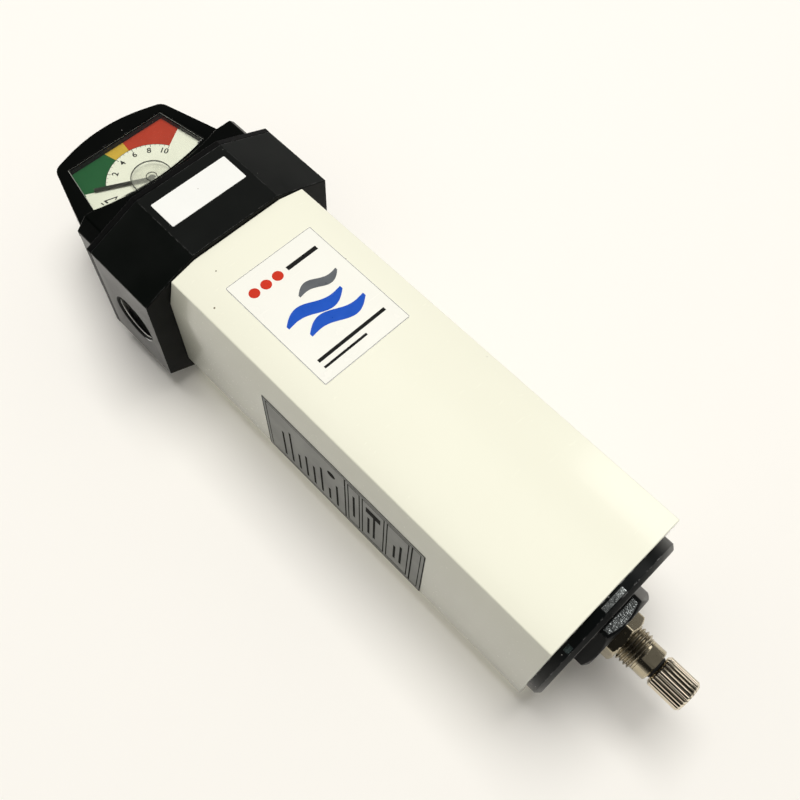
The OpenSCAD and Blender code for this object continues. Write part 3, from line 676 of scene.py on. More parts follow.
def surface(name, points, paint, body, slot, instead=(), **form):
    # a piece made from one grid; form says how the grid closes and where it is sharp
    return piece(name, gridMesh(name, points, **form), paint, body, instead)


def around(radius, turn, height):
    # x = radius x cosine, y = radius x sine, z = height
    return np.stack(np.broadcast_arrays(radius * np.cos(turn), radius * np.sin(turn), height), -1)


copyLook = {"flat": 0.3, "edge": 25, "smooth": 30}  # degrees: still flat, an edge to round, smooth to here


def softCopy(node, name, where=None, dropped=None):
    # a merged copy of a CAD part that marks the edges to be rounded
    shell = bmesh.new()
    shell.from_mesh(nodes[node].data)
    bmesh.ops.remove_doubles(shell, verts=shell.verts, dist=copyMerge)
    if dropped:
        gone = [f for f in shell.faces if all(dropped(v.co / mm) for v in f.verts)]
        bmesh.ops.delete(shell, geom=gone, context="FACES")
    flat = math.radians(copyLook["flat"])
    bmesh.ops.dissolve_limit(shell, angle_limit=flat, verts=shell.verts, edges=shell.edges)
    weights = shell.edges.layers.float.new("bevel_weight_edge")
    for edge in shell.edges:
        middle = (edge.verts[0].co + edge.verts[1].co) / 2 / mm
        if len(edge.link_faces) == 2 and edge.calc_face_angle(0) > math.radians(copyLook["edge"]):
            if where is None or where(middle):
                edge[weights] = 1.0
    mesh = bpy.data.meshes.new(name)
    shell.to_mesh(mesh)
    shell.free()
    shadeSmooth(mesh, copyLook["smooth"])
    return mesh


def softPiece(node, name, paint, body, slot, width, segments=3, other=None, **choices):
    # other names a second paint and the faces that take it
    mesh = softCopy(node, name, **choices)
    thing = piece(name, mesh, paint, body, (node,))
    if other:
        mesh.materials.append(paints[other[0]])
        for face in mesh.polygons:
            face.material_index = int(other[1](face.center / mm, face.normal))
    bevel = thing.modifiers.new("rounding", "BEVEL")
    bevel.width = width * mm
    bevel.segments = segments
    bevel.limit_method = "WEIGHT"
    bevel.use_clamp_overlap = False
    bevel.harden_normals = True
    return thing


headLook = {
    "rounding": 0.45, "portRadius": 9.3, "portInner": 29.2, "portMouth": 41.8,
    "pitch": 1.814, "threadDepth": 0.95, "threadFade": 0.9,
}


def isPortWall(point):
    onWall = abs(math.hypot(point.y, point.z) - headLook["portRadius"]) < 0.03
    return onWall and abs(point.x) > headLook["portInner"] - 0.1


def isHeadSkin(point):
    return abs(point.x) > 42.7 or abs(point.y) > 22 or point.z < -15.6 or point.z > 17.3


def takesShadedUnderside(middle, normal):
    # the underside and the bevelled port mouths are left rough, and their coat keeps little gloss so they
    # read darker: painted shade
    nearMouth = abs(middle.x) > headLook["portMouth"] - 0.1 and math.hypot(middle.y, middle.z) < 11.5
    atMouth = nearMouth and abs(normal.x) < 0.9
    return atMouth or (normal.z < -0.9 and middle.z < -12)


softPiece("head", "headCasting", "headCoat", "body", "black_paint", headLook["rounding"],
          where=isHeadSkin, dropped=isPortWall, other=("shadedUnderside", takesShadedUnderside))


def portThread(look, side):
    # radius = port radius + depth x a vee wave along the port that climbs one pitch each turn
    # and fades out at both ends
    x = np.linspace(look["portInner"], look["portMouth"], 113)[:, None]
    turn = np.linspace(0, 2 * np.pi, 96, endpoint=False)[None, :]
    wave = 1 - np.abs(2 * np.mod(x / look["pitch"] + turn / (2 * np.pi), 1) - 1)
    fade = np.clip(np.minimum(x - look["portInner"], look["portMouth"] - x) / look["threadFade"], 0, 1)
    radius = look["portRadius"] + look["threadDepth"] * np.clip(wave * 1.25 - 0.1, 0, 1) * fade
    return np.stack(np.broadcast_arrays(side * x, radius * np.cos(turn), radius * np.sin(turn)), -1)


# slivers of bright metal on the bevel of each port mouth, laid where the thread start catches the light,
# partly bare metal and partly painted highlight: degrees round the port, distance out, greatest width
mouthHighlightLooks = {
    "OuterHighlight": {"start": -144, "stop": -18, "x": 42.98, "wide": 0.32, "paint": "bareSteel"},
    "InnerHighlight": {"start": -62, "stop": 108, "x": 42.05, "wide": 0.30, "paint": "paintedRimHighlight"},
}


def paintedMouthHighlight(look, edge, side):
    # thickest in its middle and almost gone at its ends: width = widest x sine arch to the power 0.6
    turn = np.radians(np.linspace(edge["start"], edge["stop"], 60))
    width = edge["wide"] * np.sin(np.linspace(0, np.pi, 60)) ** 0.6 + 0.01
    rows = []
    for share in (0.0, 0.5, 1.0):
        along = edge["x"] + width * (share - 0.5)
        radius = along - look["portMouth"] + look["portRadius"] - 0.025
        rows.append(np.stack([side * along, radius * np.cos(turn), radius * np.sin(turn)], -1))
    grid = np.stack(rows)
    return grid if side > 0 else grid[:, ::-1]


for side, name in ((-1, "inlet"), (1, "outlet")):
    points = portThread(headLook, side)
    if side < 0:
        points = points[:, ::-1]
    surface(name + "Thread", points, "portMetal", "body", "black_paint",
            closeColumns=True, outward=False, sharp=50)
    for highlightName, edge in mouthHighlightLooks.items():
        sliver = paintedMouthHighlight(headLook, edge, side)
        surface(name + highlightName, sliver, edge["paint"], "body", "black_paint", outward=False)

softPiece("gauge_gasket", "gaugePlate", "plateRubber", "body", "rubber", 0.25,
          where=lambda p: abs(p.x) > 42 or abs(p.y) > 22)
softPiece("gauge_base", "gaugeFoot", "gaugeNylon", "body", "black_paint", 0.5,
          where=lambda p: p.y < -13.5 or abs(p.x) > 36 or (p.y > 20 and p.z > 30))
softPiece("gauge_housing", "gaugeFrame", "gaugeNylon", "body", "black_plastic", 0.6,
          where=lambda p: p.y < -13.6 or p.y > 11.5)
print("head and gauge housing made")


def roundedOutline(halfWide, halfHigh, corner, count=24):
    # a rectangle with quarter-circle corners, as points round its edge
    quarter = np.linspace(0, np.pi / 2, count)
    arcs = []
    for k, (sx, sy) in enumerate(((1, 1), (-1, 1), (-1, -1), (1, -1))):
        angle = quarter + k * np.pi / 2
        arcs.append(np.stack([sx * (halfWide - corner) + corner * np.cos(angle),
                              sy * (halfHigh - corner) + corner * np.sin(angle)], -1))
    return np.concatenate(arcs)


def sheetPoints(outline, thickness, edge=0.05):
    # the outline is carried from the back, over a rounded rim, to the face and in to the middle
    turns = np.linspace(0, np.pi / 2, 5)
    shrink = np.concatenate([[0.0], edge * (1 - np.cos(turns)), [edge * 4]])
    height = np.concatenate([[0.0], thickness - edge + edge * np.sin(turns), [thickness]])
    middle = outline.mean(0)
    reach = np.linalg.norm(outline - middle, axis=1, keepdims=True)
    rows = [np.concatenate([middle + (outline - middle) * (1 - s / reach), np.full((len(outline), 1), h)], 1)
            for s, h in zip(shrink, height)]
    centreTop = np.tile(np.append(middle, thickness), (len(outline), 1))
    centreBack = np.tile(np.append(middle, 0.0), (len(outline), 1))
    return np.stack([centreBack] + rows + [centreTop])


def onFront(points, y, x=0.0, z=0.0):
    # flat (right, up, out) becomes the front of the filter
    return np.stack([points[..., 0] + x, y - points[..., 2], points[..., 1] + z], -1)


def onLeft(points, x, y=0.0, z=0.0):
    # flat (right, up, out) becomes the left side of the filter
    return np.stack([x - points[..., 2], y - points[..., 0], points[..., 1] + z], -1)


def stripPoints(outer, inner, height=0.0):
    # a flat ring between two outlines of equal count
    return np.stack([np.concatenate([o, np.full((len(o), 1), height)], 1) for o in (outer, inner)])


def printed(name, shapes, place, paint):
    # one mesh from several flat grids laid on a surface
    joined = bmesh.new()
    for k, (points, ring) in enumerate(shapes):
        part = gridMesh(f"{name}{k}", place(points), closeColumns=ring, outward=False)
        joined.from_mesh(part)
        bpy.data.meshes.remove(part)
    mesh = bpy.data.meshes.new(name)
    joined.to_mesh(mesh)
    joined.free()
    return piece(name, mesh, paint, "body" if name.startswith("dial") else "bowl")


def box(x0, x1, y0, y1):
    # a flat rectangle as a two by two grid
    return np.array([[[x0, y0, 0.0], [x1, y0, 0.0]], [[x0, y1, 0.0], [x1, y1, 0.0]]]), False


labelLook = {"corner": 0.5, "proud": 0.02}

headLow, headHigh = nodeBox("head_label")
stickerLow, stickerHigh = nodeBox("front_label")
plateLow, plateHigh = nodeBox("side_label")


def sheetOnFront(name, low, high, paint, body, slot, node):
    half = (high - low) / 2
    outline = roundedOutline(half[0], half[2], labelLook["corner"])
    middle = (low + high) / 2
    points = onFront(sheetPoints(outline, high[1] - low[1]), high[1], middle[0], middle[2])
    return surface(name, points, paint, body, slot, (node,), closeColumns=True)


sheetOnFront("headSticker", headLow, headHigh, "headVinyl", "body", "label_white", "head_label")
sheetOnFront("bowlSticker", stickerLow, stickerHigh, "stickerVinyl", "bowl", "label_white", "front_label")

plateHalf = (plateHigh - plateLow) / 2
plateOutline = roundedOutline(plateHalf[1], plateHalf[2], labelLook["corner"])
plateMid = (plateLow[2] + plateHigh[2]) / 2
platePoints = onLeft(sheetPoints(plateOutline, plateHigh[0] - plateLow[0]), plateHigh[0], 0, plateMid)
surface("sidePlate", platePoints, "plateFoil", "bowl", "label_silver", ("side_label",), closeColumns=True)

stickerFace = stickerLow[1] - labelLook["proud"]
stickerMid = (stickerLow[2] + stickerHigh[2]) / 2
stickerHalf = (stickerHigh - stickerLow) / 2


def toSticker(points):
    return onFront(points, stickerFace, 0, stickerMid)


def ringOf(halfWide, halfHigh, corner, width):
    return stripPoints(roundedOutline(halfWide, halfHigh, corner),
                       roundedOutline(halfWide - width, halfHigh - width, max(corner - width, 0.05))), True


def wave(low, left, right, lift, thick):
    # a band that swells in the middle and rides on a sine: middle line = low + lift x sine,
    # half width = half the thickness x a sine arch to the power 0.7
    t = np.linspace(0, 1, 41)
    x = left + (right - left) * t
    middle = low + lift * np.sin(2 * np.pi * t)
    half = thick * np.sin(np.pi * np.clip(0.04 + 0.92 * t, 0, 1)) ** 0.7 / 2
    rows = [np.stack([x, middle + half * k, np.zeros_like(x)], -1) for k in (-1, 0, 1)]
    return np.stack(rows), False


def disc(x, y, radius):
    turn = np.linspace(0, 2 * np.pi, 48, endpoint=False)
    reach = radius * np.array([[0], [0.5], [1]])
    return around(reach, turn[None, :], 0.0) + np.array([x, y, 0.0]), True


stickerLook = {
    "border": (0.12, 0.5, 0.16),  # inset, corner and line width
    # each wave: low, left, right, lift and thickness
    "blueWaves": ((-1.0, -14.5, 10.5, 1.9, 5.6), (-8.6, -10.5, 14.5, 1.9, 5.6)),
    "greyWaves": ((6.0, -3.0, 14.5, 1.5, 4.2),),
    "dots": ((-13.6, 17.8, 2.1), (-8.2, 17.8, 2.1), (-2.8, 17.8, 2.1)),  # across, up, radius
    # each bar: left, right, low and high
    "bars": ((1.6, 15.6, 16.9, 18.7), (-15.6, 15.6, -18.6, -17.2), (-15.6, 4.0, -21.6, -20.6)),
}
inset, corner, line = stickerLook["border"]
for name, paint, shapes in (
    ("stickerBorder", "labelGrey", [ringOf(stickerHalf[0] - inset, stickerHalf[2] - inset, corner, line)]),
    ("stickerBlue", "labelBlue", [wave(*shape) for shape in stickerLook["blueWaves"]]),
    ("stickerGrey", "labelGrey", [wave(*shape) for shape in stickerLook["greyWaves"]]),
    ("stickerRed", "labelRed", [disc(*shape) for shape in stickerLook["dots"]]),
    ("stickerBlack", "labelBlack", [box(*shape) for shape in stickerLook["bars"]]),
):
    printed(name, shapes, toSticker, paint)

plateFace = plateLow[0] - labelLook["proud"]


def toPlate(points):
    return onLeft(points, plateFace, 0, plateMid)


plateLook = {
    "rules": (-2.4, -35.3), "ruleWide": 0.7,
    "boxes": ((-9.6, -3.4), (-21.8, -10.6), (-33.6, -22.8)),  # low and high edge of each
    "firstStroke": 31.0, "strokeStep": 4.1, "strokeHalf": 0.55, "strokes": (20, 25, 13, 18, 16, 22, 10, 19),
    "boxStrokes": ((-6.5, -10, 10), (-14.0, -12, 4), (-16.8, -12, 9), (-27.0, -11, 2), (-30.0, -11, 7)),
    "dot": (9.5, 5.0, 2.0), "block": (8.0, 12.5, -19.8, -12.6),
}


def plateLines(look):
    # the right of the flat layout is the front edge of the plate; rules, boxes and short strokes fill it
    w, h = plateHalf[1], plateHalf[2]
    half = look["strokeHalf"]
    shapes = [ringOf(w - 0.05, h - 0.05, 0.45, 0.45), ringOf(w - 1.7, h - 1.7, 0.3, 0.4)]
    for low in look["rules"]:
        shapes.append(box(-w + 1.8, w - 1.8, low, low + look["ruleWide"]))
    for low, high in look["boxes"]:
        outer = roundedOutline(w - 3.0, (high - low) / 2, 0.3)
        inner = roundedOutline(w - 3.5, (high - low) / 2 - 0.55, 0.1)
        ring = stripPoints(outer, inner)
        ring[..., 1] += (high + low) / 2
        shapes.append((ring, True))
    for k, length in enumerate(look["strokes"]):
        z = look["firstStroke"] - look["strokeStep"] * k
        shapes.append(box(-w + 4.5, -w + 4.5 + length, z - half, z + half))
    for z, left, right in look["boxStrokes"]:
        shapes.append(box(left, right, z - half, z + half))
    return shapes + [disc(*look["dot"]), box(*look["block"])]


printed("plateRules", plateLines(plateLook), toPlate, "plateInk")
print("labels made")

gaugeLook = {
    "pivot": 41.4, "dialFront": -10.0, "lensBack": -12.2, "lensThick": 1.2, "lensStep": 0.75,
    "topWide": 23.2, "lowWide": 27.4, "topZ": 65.8, "lowZ": 42.2, "dipZ": 38.6, "hub": 8.3, "scale": 18.7,
    "scaleStart": 154, "yellowStart": 105, "redStart": 83.5, "scaleStop": 31,  # degrees round the pivot
}


def windowOutline(grow, count=31):
    # a bowed lower edge from left to right, then straight up the right side, along the top and down the left
    g = gaugeLook
    t = np.linspace(-1, 1, count)
    low = np.stack([t * (g["lowWide"] + grow), g["dipZ"] - grow + (g["lowZ"] - g["dipZ"]) * t * t], -1)
    right = np.array([g["topWide"] + grow, g["topZ"] + grow])
    left = right * (-1, 1)
    s = np.linspace(0, 1, 13)[1:, None]
    upRight, alongTop = low[-1] + (right - low[-1]) * s, right + (left - right) * s
    return np.concatenate([low, upRight, alongTop, left + (low[0] - left) * s[:-1]])


def lensPoints():
    # the window outline carried from the back, forward, over a bevel and in to the middle
    g = gaugeLook
    middle = np.array([0.0, 53.0])
    rows = []
    step, thick = g["lensStep"], g["lensThick"]
    for grow, out in ((None, 0.0), (-0.08, 0.0), (-0.08, step), (-0.62, thick), (None, thick)):
        flat = np.tile(middle, (len(windowOutline(0)), 1)) if grow is None else windowOutline(grow)
        rows.append(np.stack([flat[:, 0], np.full(len(flat), g["lensBack"] - out), flat[:, 1]], -1))
    return np.stack(rows)


surface("gaugeWindow", lensPoints(), "windowGlass", "body", "clear_lens", ("gauge_lens",),
        closeColumns=True, sharp=20)


def windowEdgeHighlight(outer, inner):
    # a pale strip along the sides and top of the window, just above the moulded slope, is a painted highlight
    # where the lens bevel catches the light
    g = gaugeLook
    slope = (g["lensThick"] - g["lensStep"]) / 0.54
    rows = []
    for grow in (outer, (outer + inner) / 2, inner):
        flat = windowOutline(grow)[30:]
        out = g["lensStep"] + (-0.08 - grow) * slope + 0.03
        rows.append(np.stack([flat[:, 0], np.full(len(flat), g["lensBack"] - out), flat[:, 1]], -1))
    return np.stack(rows)


surface("windowEdgeHighlight", windowEdgeHighlight(-0.10, -0.34)[:, ::-1], "paintedLensHighlight", "body", "clear_lens", outward=False)


def toDial(points):
    return onFront(points, gaugeLook["dialFront"] - 0.03, 0.0, gaugeLook["pivot"])


def zone(start, stop, inner, grow=0.5):
    # from the scale arc out to the window edge: the reach along each ray is the nearest of the top
    # and the two sides
    g = gaugeLook
    turn = np.radians(np.linspace(start, stop, 45))
    c, s = np.cos(turn), np.sin(turn)
    top = (g["topZ"] + grow - g["pivot"]) / np.maximum(s, 1e-3)
    slope = (g["lowWide"] - g["topWide"]) / (g["topZ"] - g["lowZ"])
    edge = g["lowWide"] + grow + slope * (g["lowZ"] - g["pivot"])
    reach = np.minimum(top, edge / np.maximum(np.abs(c) + slope * s, 1e-3))
    depth = np.linspace(0, 1, 9)[:, None]
    radius = inner + (reach - inner) * depth
    return np.stack([radius * c, radius * s, np.zeros_like(radius)], -1), False


scaleArc = gaugeLook["scale"]
for name, paint, start, stop in (
    ("dialGreen", "inkGreen", "scaleStart", "yellowStart"),
    ("dialYellow", "inkYellow", "yellowStart", "redStart"),
    ("dialRed", "inkRed", "redStart", "scaleStop"),
):
    printed(name, [zone(gaugeLook[start], gaugeLook[stop], scaleArc)], toDial, paint)


def arcStroke(start, stop, radius, width):
    turn = np.radians(np.linspace(start, stop, 40))
    return around(np.array([[radius], [radius + width]]), turn[None, :], 0.0), False


def ray(angle, inner, outer, width):
    # a short stroke that points away from the pivot
    a = math.radians(angle)
    along = np.array([math.cos(a), math.sin(a)])
    across = np.array([-math.sin(a), math.cos(a)]) * width / 2
    corners = [[along * reach - across, along * reach + across] for reach in (inner, outer)]
    return np.concatenate([np.array(corners), np.zeros((2, 2, 1))], -1), False


markLook = {
    "steps": 20, "every": 4, "long": 1.5, "short": 0.9, "thick": 0.22, "thin": 0.14, "line": 0.16, "gap": 0.1,
}


def dialMarks(look):
    # the arc of the scale with its strokes, of which every fourth is longer and thicker
    start, stop = gaugeLook["scaleStart"], gaugeLook["scaleStop"]
    shapes = [arcStroke(start, stop, scaleArc - look["line"], look["line"])]
    for k in range(look["steps"] + 1):
        major = k % look["every"] == 0
        inner = scaleArc - (look["long"] if major else look["short"])
        angle = start - k * ((start - stop) / look["steps"])
        shapes.append(ray(angle, inner, scaleArc - look["gap"], look["thick"] if major else look["thin"]))
    return shapes


printed("dialMarks", dialMarks(markLook), toDial, "inkGrey")


def dialPointerMark(look):
    # an outlined triangle below the start of the scale, with a bar behind it
    turn = math.radians(look["turn"])
    size, line = look["size"], look["line"]
    corners = np.array([[size, 0.0], [-size * 0.6, size * 0.75], [-size * 0.6, -size * 0.75]])
    shapes = []
    for k in range(3):
        ends = np.stack([corners[k], corners[(k + 1) % 3]])
        shapes.append(np.stack([ends, ends * (1 - line / (size * 0.42))]))
    bar = np.array([[-size * 0.9, size * 0.75], [-size * 0.9, -size * 0.75]])
    shapes.append(np.stack([bar, bar - np.array([line, 0.0])]))
    spin = np.array([[math.cos(turn), -math.sin(turn)], [math.sin(turn), math.cos(turn)]])
    placed = []
    for shape in shapes:
        flat = shape @ spin.T + np.array(look["place"])
        placed.append((np.concatenate([flat, np.zeros((2, 2, 1))], -1), False))
    return placed


pointerMarkLook = {"place": (-18.6, 2.2), "turn": 8, "size": 3.4, "line": 0.5}
printed("dialPointerMark", dialPointerMark(pointerMarkLook), toDial, "inkGrey")


numberLook = {"size": 3.7, "weight": 0.07, "radius": 15.4, "first": 150, "step": 23, "count": 6}


def dialNumbers(look):
    # plain numbers stand upright on their own rays, their feet towards the pivot
    joined = bmesh.new()
    for k in range(look["count"]):
        data = bpy.data.curves.new(f"number{k}", "FONT")
        data.body = str(2 * k)
        data.size = look["size"] * mm
        data.offset = look["weight"] * mm
        data.align_x = data.align_y = "CENTER"
        words = bpy.data.objects.new(f"number{k}", data)
        scene.collection.objects.link(words)
        bpy.context.view_layer.update()
        settled = words.evaluated_get(bpy.context.evaluated_depsgraph_get())
        flat = bpy.data.meshes.new_from_object(settled)
        angle = look["first"] - look["step"] * k
        a, radius = math.radians(angle), look["radius"]
        corners = np.empty(len(flat.vertices) * 3)
        flat.vertices.foreach_get("co", corners)
        corners = corners.reshape(-1, 3) / mm
        turn = math.radians(angle - 90)
        x = corners[:, 0] * math.cos(turn) - corners[:, 1] * math.sin(turn) + radius * math.cos(a)
        z = corners[:, 0] * math.sin(turn) + corners[:, 1] * math.cos(turn) + radius * math.sin(a)
        placed = toDial(np.stack([x, z, np.zeros_like(x)], -1)) * mm
        flat.vertices.foreach_set("co", placed.ravel())
        joined.from_mesh(flat)
        bpy.data.objects.remove(words)
        bpy.data.meshes.remove(flat)
    mesh = bpy.data.meshes.new("dialNumbers")
    joined.to_mesh(mesh)
    joined.free()
    piece("dialNumbers", mesh, "inkGrey", "body")


dialNumbers(numberLook)


def lathe(profile, columns=64, axis="z", centre=(0.0, 0.0, 0.0), wobble=None):
    # each (radius, height) of the profile is carried once round the axis
    profile = np.asarray(profile, float)
    turn = np.linspace(0, 2 * np.pi, columns, endpoint=False)[None, :]
    radius = profile[:, 0:1] * np.ones_like(turn)
    if wobble is not None:
        radius = radius + wobble(turn, profile)
    points = around(radius, turn, profile[:, 1:2])
    if axis == "y":
        points = points[..., [0, 2, 1]]
    return points + np.asarray(centre)


pivotPoint = (0.0, 0.0, gaugeLook["pivot"])
hubR = gaugeLook["hub"]
hubProfile = [
    (0, -11.55), (hubR, -11.55), (hubR, -11.9), (hubR - 0.25, -12.05),
    (2.6, -12.05), (2.2, -11.9), (0, -11.9),
]
surface("hubCover", lathe(hubProfile, 72, "y", pivotPoint), "hubPlastic", "body", "clear_lens",
        closeColumns=True)
for name, inner, outer, back, front, columns in (
    ("hubRim", hubR - 0.15, hubR + 0.2, -11.5, -11.95, 72),
    ("hubEye", 2.0, 2.3, -12.0, -12.12, 48),
):
    section = [(inner, back), (outer, back), (outer, front), (inner, front)]
    surface(name, lathe(section, columns, "y", pivotPoint), "needleEnamel", "body", "needle_grey",
            closeRows=True, closeColumns=True)
softPiece("gauge_needle", "pointer", "needleEnamel", "needle", "needle_grey", 0.1, segments=2)


springLook = {"turns": 7, "wire": 0.35, "radius": 4.0, "steps": 22, "sides": 10, "stroke": 10.0}
springLow, springHigh = nodeBox("gauge_spring")


def springCoil(look):
    # a round wire follows a helix; its two ends close on their own middles
    t = np.linspace(0, 1, look["turns"] * look["steps"] + 1)[:, None]
    section = np.linspace(0, 2 * np.pi, look["sides"], endpoint=False)[None, :]
    turn = 2 * np.pi * look["turns"] * t
    low, high = springLow[2] + look["wire"], springHigh[2] - look["wire"]
    wire = np.full_like(t, look["wire"])
    t, turn, wire = (np.concatenate([grid[:1], grid, grid[-1:]]) for grid in (t, turn, wire))
    wire[[0, -1]] = 0
    out = look["radius"] + wire * np.cos(section)
    middle = (springLow + springHigh) / 2
    x, y = middle[0] + out * np.cos(turn), middle[1] + out * np.sin(turn)
    return np.stack([x, y, low + (high - low) * t + wire * np.sin(section)], -1)


returnSpring = surface("returnSpring", springCoil(springLook), "bareSteel", "body", "steel",
                       ("gauge_spring",), closeColumns=True, sharp=60)
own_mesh(returnSpring)


screwLook = {
    "fromMiddle": 30.0, "y": 16.2, "base": 35.0, "radius": 3.5,
    "socket": 1.75, "keyHalf": 1.52, "knurl": 0.09,
}


def capScrew(look, x):
    # socket head: the side has fine knurls, the rim is bevelled and the hexagon socket is six-sided
    base, r, bore = look["base"], look["radius"], look["socket"]
    rows = [(0, base), (r, base), (r, base + 0.25), (r, base + 3.4), (r - 0.35, base + 3.95),
            (bore + 0.2, base + 4.0), (bore, base + 3.8), (bore, base + 1.9), (0, base + 1.9)]

    def knurls(turn, profile):
        onSide = (np.abs(profile[:, 0:1] - r) < 0.01) * (profile[:, 1:2] > base + 0.1) * 1.0
        socket = (np.abs(profile[:, 0:1] - bore) < 0.01) * 1.0
        sixSided = look["keyHalf"] / np.cos(np.mod(turn, np.pi / 3) - np.pi / 6) - bore
        return -look["knurl"] * onSide * (1 - np.abs(np.sin(20 * turn))) + socket * sixSided

    return lathe(rows, 160, "z", (x, look["y"], 0), knurls)


for x, label in ((-screwLook["fromMiddle"], "leftCapScrew"), (screwLook["fromMiddle"], "rightCapScrew")):
    surface(label, capScrew(screwLook, x), "blackOxide", "body", "black_oxide",
            ("gauge_screws",) if x < 0 else (), closeColumns=True)
print("gauge made")

softPiece("bowl_tube", "bowlShell", "bowlCoat", "bowl", "white_paint", 0.45,
          where=lambda p: math.hypot(p.x, p.y) > 33 and p.z < -16)
softPiece("bottom_cap", "bottomPlug", "capCoat", "bowl", "black_paint", 0.35,
          where=lambda p: p.z < -202 and math.hypot(p.x, p.y) > 12)

glintPanelLook = {
    "seed": 7, "facetTurn": -93.5, "facetReach": 14.98, "halfWide": 7.3, "top": -203.9, "low": -207.5,
    "bow": 1.5, "rough": 0.16, "rows": 18, "columns": 66,
}


def paintedGlintPanel(look):
    # a field of small uneven facets on the hex facet of the cap, in bright metal as a painted glint over its
    # stippled texture; its lower edge bows up towards both ends
    rng = np.random.default_rng(look["seed"])
    u = np.linspace(-1, 1, look["columns"])[None, :]
    v = np.linspace(0, 1, look["rows"])[:, None]
    low = look["low"] + look["bow"] * u ** 2
    height = low + (look["top"] - low) * v
    across = look["halfWide"] * u * np.ones_like(v)
    bump = rng.random((look["rows"], look["columns"])) * look["rough"]
    bump[[0, -1], :] = 0
    bump[:, [0, -1]] = 0
    reach = look["facetReach"] + 0.01 + bump
    a = math.radians(look["facetTurn"])
    x = reach * math.cos(a) - across * math.sin(a)
    y = reach * math.sin(a) + across * math.cos(a)
    return np.stack([x, y, height * np.ones_like(u)], -1)


rimLook = {"radius": 34.2, "low": -201.2, "high": -199.2, "facet": 0.22, "rough": 0.10}


def rimPatch(look, start, stop, seed):
    # the same uneven facets, wrapped on the rim of the cap where it glints: painted glints
    rng = np.random.default_rng(seed)
    count = int(abs(stop - start) * look["radius"] / 57.3 / look["facet"]) + 3
    rows = int((look["high"] - look["low"]) / look["facet"]) + 3
    turn = np.radians(np.linspace(start, stop, count))[None, :]
    z = np.linspace(look["low"], look["high"], rows)[:, None]
    bump = rng.random((rows, count)) * look["rough"]
    bump[[0, -1], :] = 0
    bump[:, [0, -1]] = 0
    return around(look["radius"] + 0.01 + bump, turn, z)


surface("paintedGlintPanel", paintedGlintPanel(glintPanelLook), "paintedGlintFlecks", "bowl", "black_paint", outward=False, sharp=5)
for label, start, stop, seed, paint in (
    ("rimGlintFront", -107, -91, 11, "paintedGlintFlecks"),
    ("rimGlintLeft", -137, -132, 12, "dimPaintedGlintFlecks"),
):
    surface(label, rimPatch(rimLook, start, stop, seed), paint, "bowl", "black_paint", outward=False, sharp=5)
print("bowl and bottom cap made")

drainLook = {
    "nutFlats": 17.0, "corner": 36, "nutTop": -208.2, "nutLow": -212.0, "nutBore": 7.1,
    "threadTop": -212.0, "threadLow": -218.0, "crest": 7.0, "depth": 0.85, "pitch": 1.5,
    "neckLow": -223.8, "neckRadius": 6.1, "neckFlat": 5.2, "bore": 3.12,
}


def hexNut(look):
    # radius = the smaller of the hexagon, softened at its corners, and the cone that bevels them
    half = look["nutFlats"] / 2
    turn = np.linspace(0, 2 * np.pi, 216, endpoint=False)[None, :]
    tilt = np.abs(np.mod(turn - math.radians(30), np.pi / 3) - np.pi / 6)
    power = look["corner"]
    flats = half / (np.cos(tilt) ** power + np.cos(np.pi / 3 - tilt) ** power) ** (1 / power)
    top, low = look["nutTop"], look["nutLow"]
    heights = np.array([top, top - 0.2, low + 1.3, low + 1.0, low + 0.75, low + 0.5, low + 0.25, low])
    cone = half - 0.35 + (heights - low) * 1.55
    cone[:2] = 99  # no bevel at the top
    outer = np.minimum(flats, cone[:, None])
    bore = np.full_like(turn, look["nutBore"])
    z = np.concatenate([[top], heights, [low]])[:, None]
    return around(np.concatenate([bore, outer, bore]), turn, z)


surface("lockNut", hexNut(drainLook), "drainNickel", "bowl", "nickel", ("drain_nut",),
        closeRows=True, closeColumns=True, sharp=20)


def drainThread(look):
    # radius = root + depth x a rounded ridge that climbs one pitch each turn; the section closes
    # round the bore
    z = np.linspace(look["threadTop"], look["threadLow"], 97)[:, None]
    turn = np.linspace(0, 2 * np.pi, 96, endpoint=False)[None, :]
    phase = np.mod(z / look["pitch"] + turn / (2 * np.pi), 1)
    ridge = np.clip(1.3 * (1 - np.abs(2 * phase - 1)) - 0.12, 0, 1)
    fade = np.clip((z - look["threadLow"]) / 0.7, 0, 1)
    radius = look["crest"] - look["depth"] + look["depth"] * ridge * fade
    bore = np.full_like(turn, look["bore"])
    return around(np.concatenate([bore, radius, bore]), turn, np.concatenate([z[:1], z, z[-1:]]))


surface("drainThread", drainThread(drainLook), "threadNickel", "bowl", "nickel",
        closeRows=True, closeColumns=True, sharp=50)


def drainNeck(look):
    # radius = the smaller of the round and two flats that face the front and the back, with a bevel
    # at the foot
    turn = np.linspace(0, 2 * np.pi, 192, endpoint=False)[None, :]
    flats = look["neckFlat"] / np.maximum(np.abs(np.sin(turn)), 1e-3)
    top, low = look["threadLow"], look["neckLow"]
    z = np.array([top, top - 0.15, top - 0.8, top - 0.95, top - 1.0, low + 0.4, low])
    most = np.array([5.9, 6.1, 6.1, 5.95, 99, 99, 5.6])[:, None]  # the greatest radius of each row
    withFlats = np.arange(len(z))[:, None] > 3
    radius = np.where(withFlats, np.minimum(flats, look["neckRadius"]), look["neckRadius"])
    radius = np.minimum(radius, most)
    bore = np.full_like(turn, look["bore"])
    z = np.concatenate([z[:1], z, z[-1:]])[:, None]
    return around(np.concatenate([bore, radius, bore]), turn, z)


surface("drainNeck", drainNeck(drainLook), "drainNickel", "bowl", "nickel",
        closeRows=True, closeColumns=True, sharp=25)

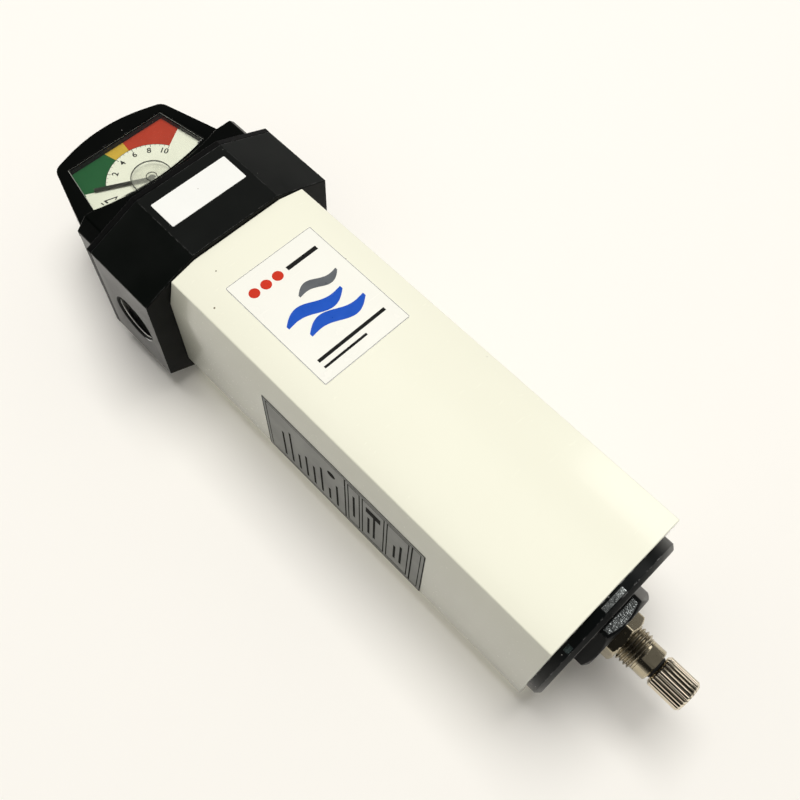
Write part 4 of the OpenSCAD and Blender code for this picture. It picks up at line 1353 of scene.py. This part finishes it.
knobLook = {
    "radius": 6.1, "ribs": 24, "depth": 0.55, "top": -224.8, "low": -238.0, "bevel": 0.9,
    "bore": 1.8, "boreDeep": 6,
}


def ribbedKnob(look):
    # between the bevelled ends the radius drops into a sharp groove between rounded ribs
    r, b, top, low, bore = (look[k] for k in ("radius", "bevel", "top", "low", "bore"))
    rows = np.array([  # radius, height and how deep the groove is there
        (0.0, top, 0), (r - b - 0.4, top, 0), (r - b, top - 0.05, 0), (r - 0.15, top - b + 0.1, 0.4),
        (r, top - b - 0.15, 1), (r, low + b + 0.15, 1), (r - 0.15, low + b - 0.1, 0.4),
        (r - b, low + 0.05, 0), (r - b - 0.4, low, 0), (bore + 0.2, low, 0),
        (bore, low + 0.2, 0), (bore, low + look["boreDeep"], 0), (0.0, low + look["boreDeep"], 0)])
    turn = np.linspace(0, 2 * np.pi, look["ribs"] * 14, endpoint=False)[None, :]
    groove = (1 - np.abs(np.sin(look["ribs"] * turn / 2)) ** 0.75) * look["depth"]
    radius = rows[:, 0:1] - groove * rows[:, 2:3]
    return around(radius, turn, rows[:, 1:2])


surface("drainKnob", ribbedKnob(knobLook), "knobNickel", "knob", "nickel", ("drain_knob",),
        closeColumns=True, sharp=40)
softPiece("drain_body", "drainCore", "drainNickel", "bowl", "nickel", 0.2, segments=2,
          where=lambda p: p.z > -195 and math.hypot(p.x, p.y) > 4, dropped=lambda p: p.z < -211.9)
print("drain made")

keptParts = {
    "dialCard": ("gauge_dial",),
    "turnedBrass": ("gauge_bush", "gauge_sleeve"),
    "gaugeNylon": ("gauge_cover",),
    "bareSteel": ("cover_screws", "element_core", "element_support", "tie_rod", "tie_nut", "float_pin"),
    "ferrite": ("gauge_piston", "needle_magnet"),
    "endCapPlastic": ("element_top_cap", "element_bottom_cap"),
    "glassFibre": ("element_media",),
    "blueFoam": ("element_sock",),
    "sealRubber": (
        "element_seal", "tie_washer", "bowl_seal", "cap_seal", "drain_gasket", "valve_pad", "stem_seal",
    ),
    "acetal": ("float_arm", "float"),
    "drainNickel": ("drain_stem",),
}
for paint, names in keptParts.items():
    for node in names:
        cadPart = nodes[node]
        if not cadPart.data.materials:
            cadPart.data.materials.append(paints[paint])
        for place in cadPart.material_slots:
            place.material = paints[paint]
print(sum(len(names) for names in keptParts.values()), "CAD parts finished")
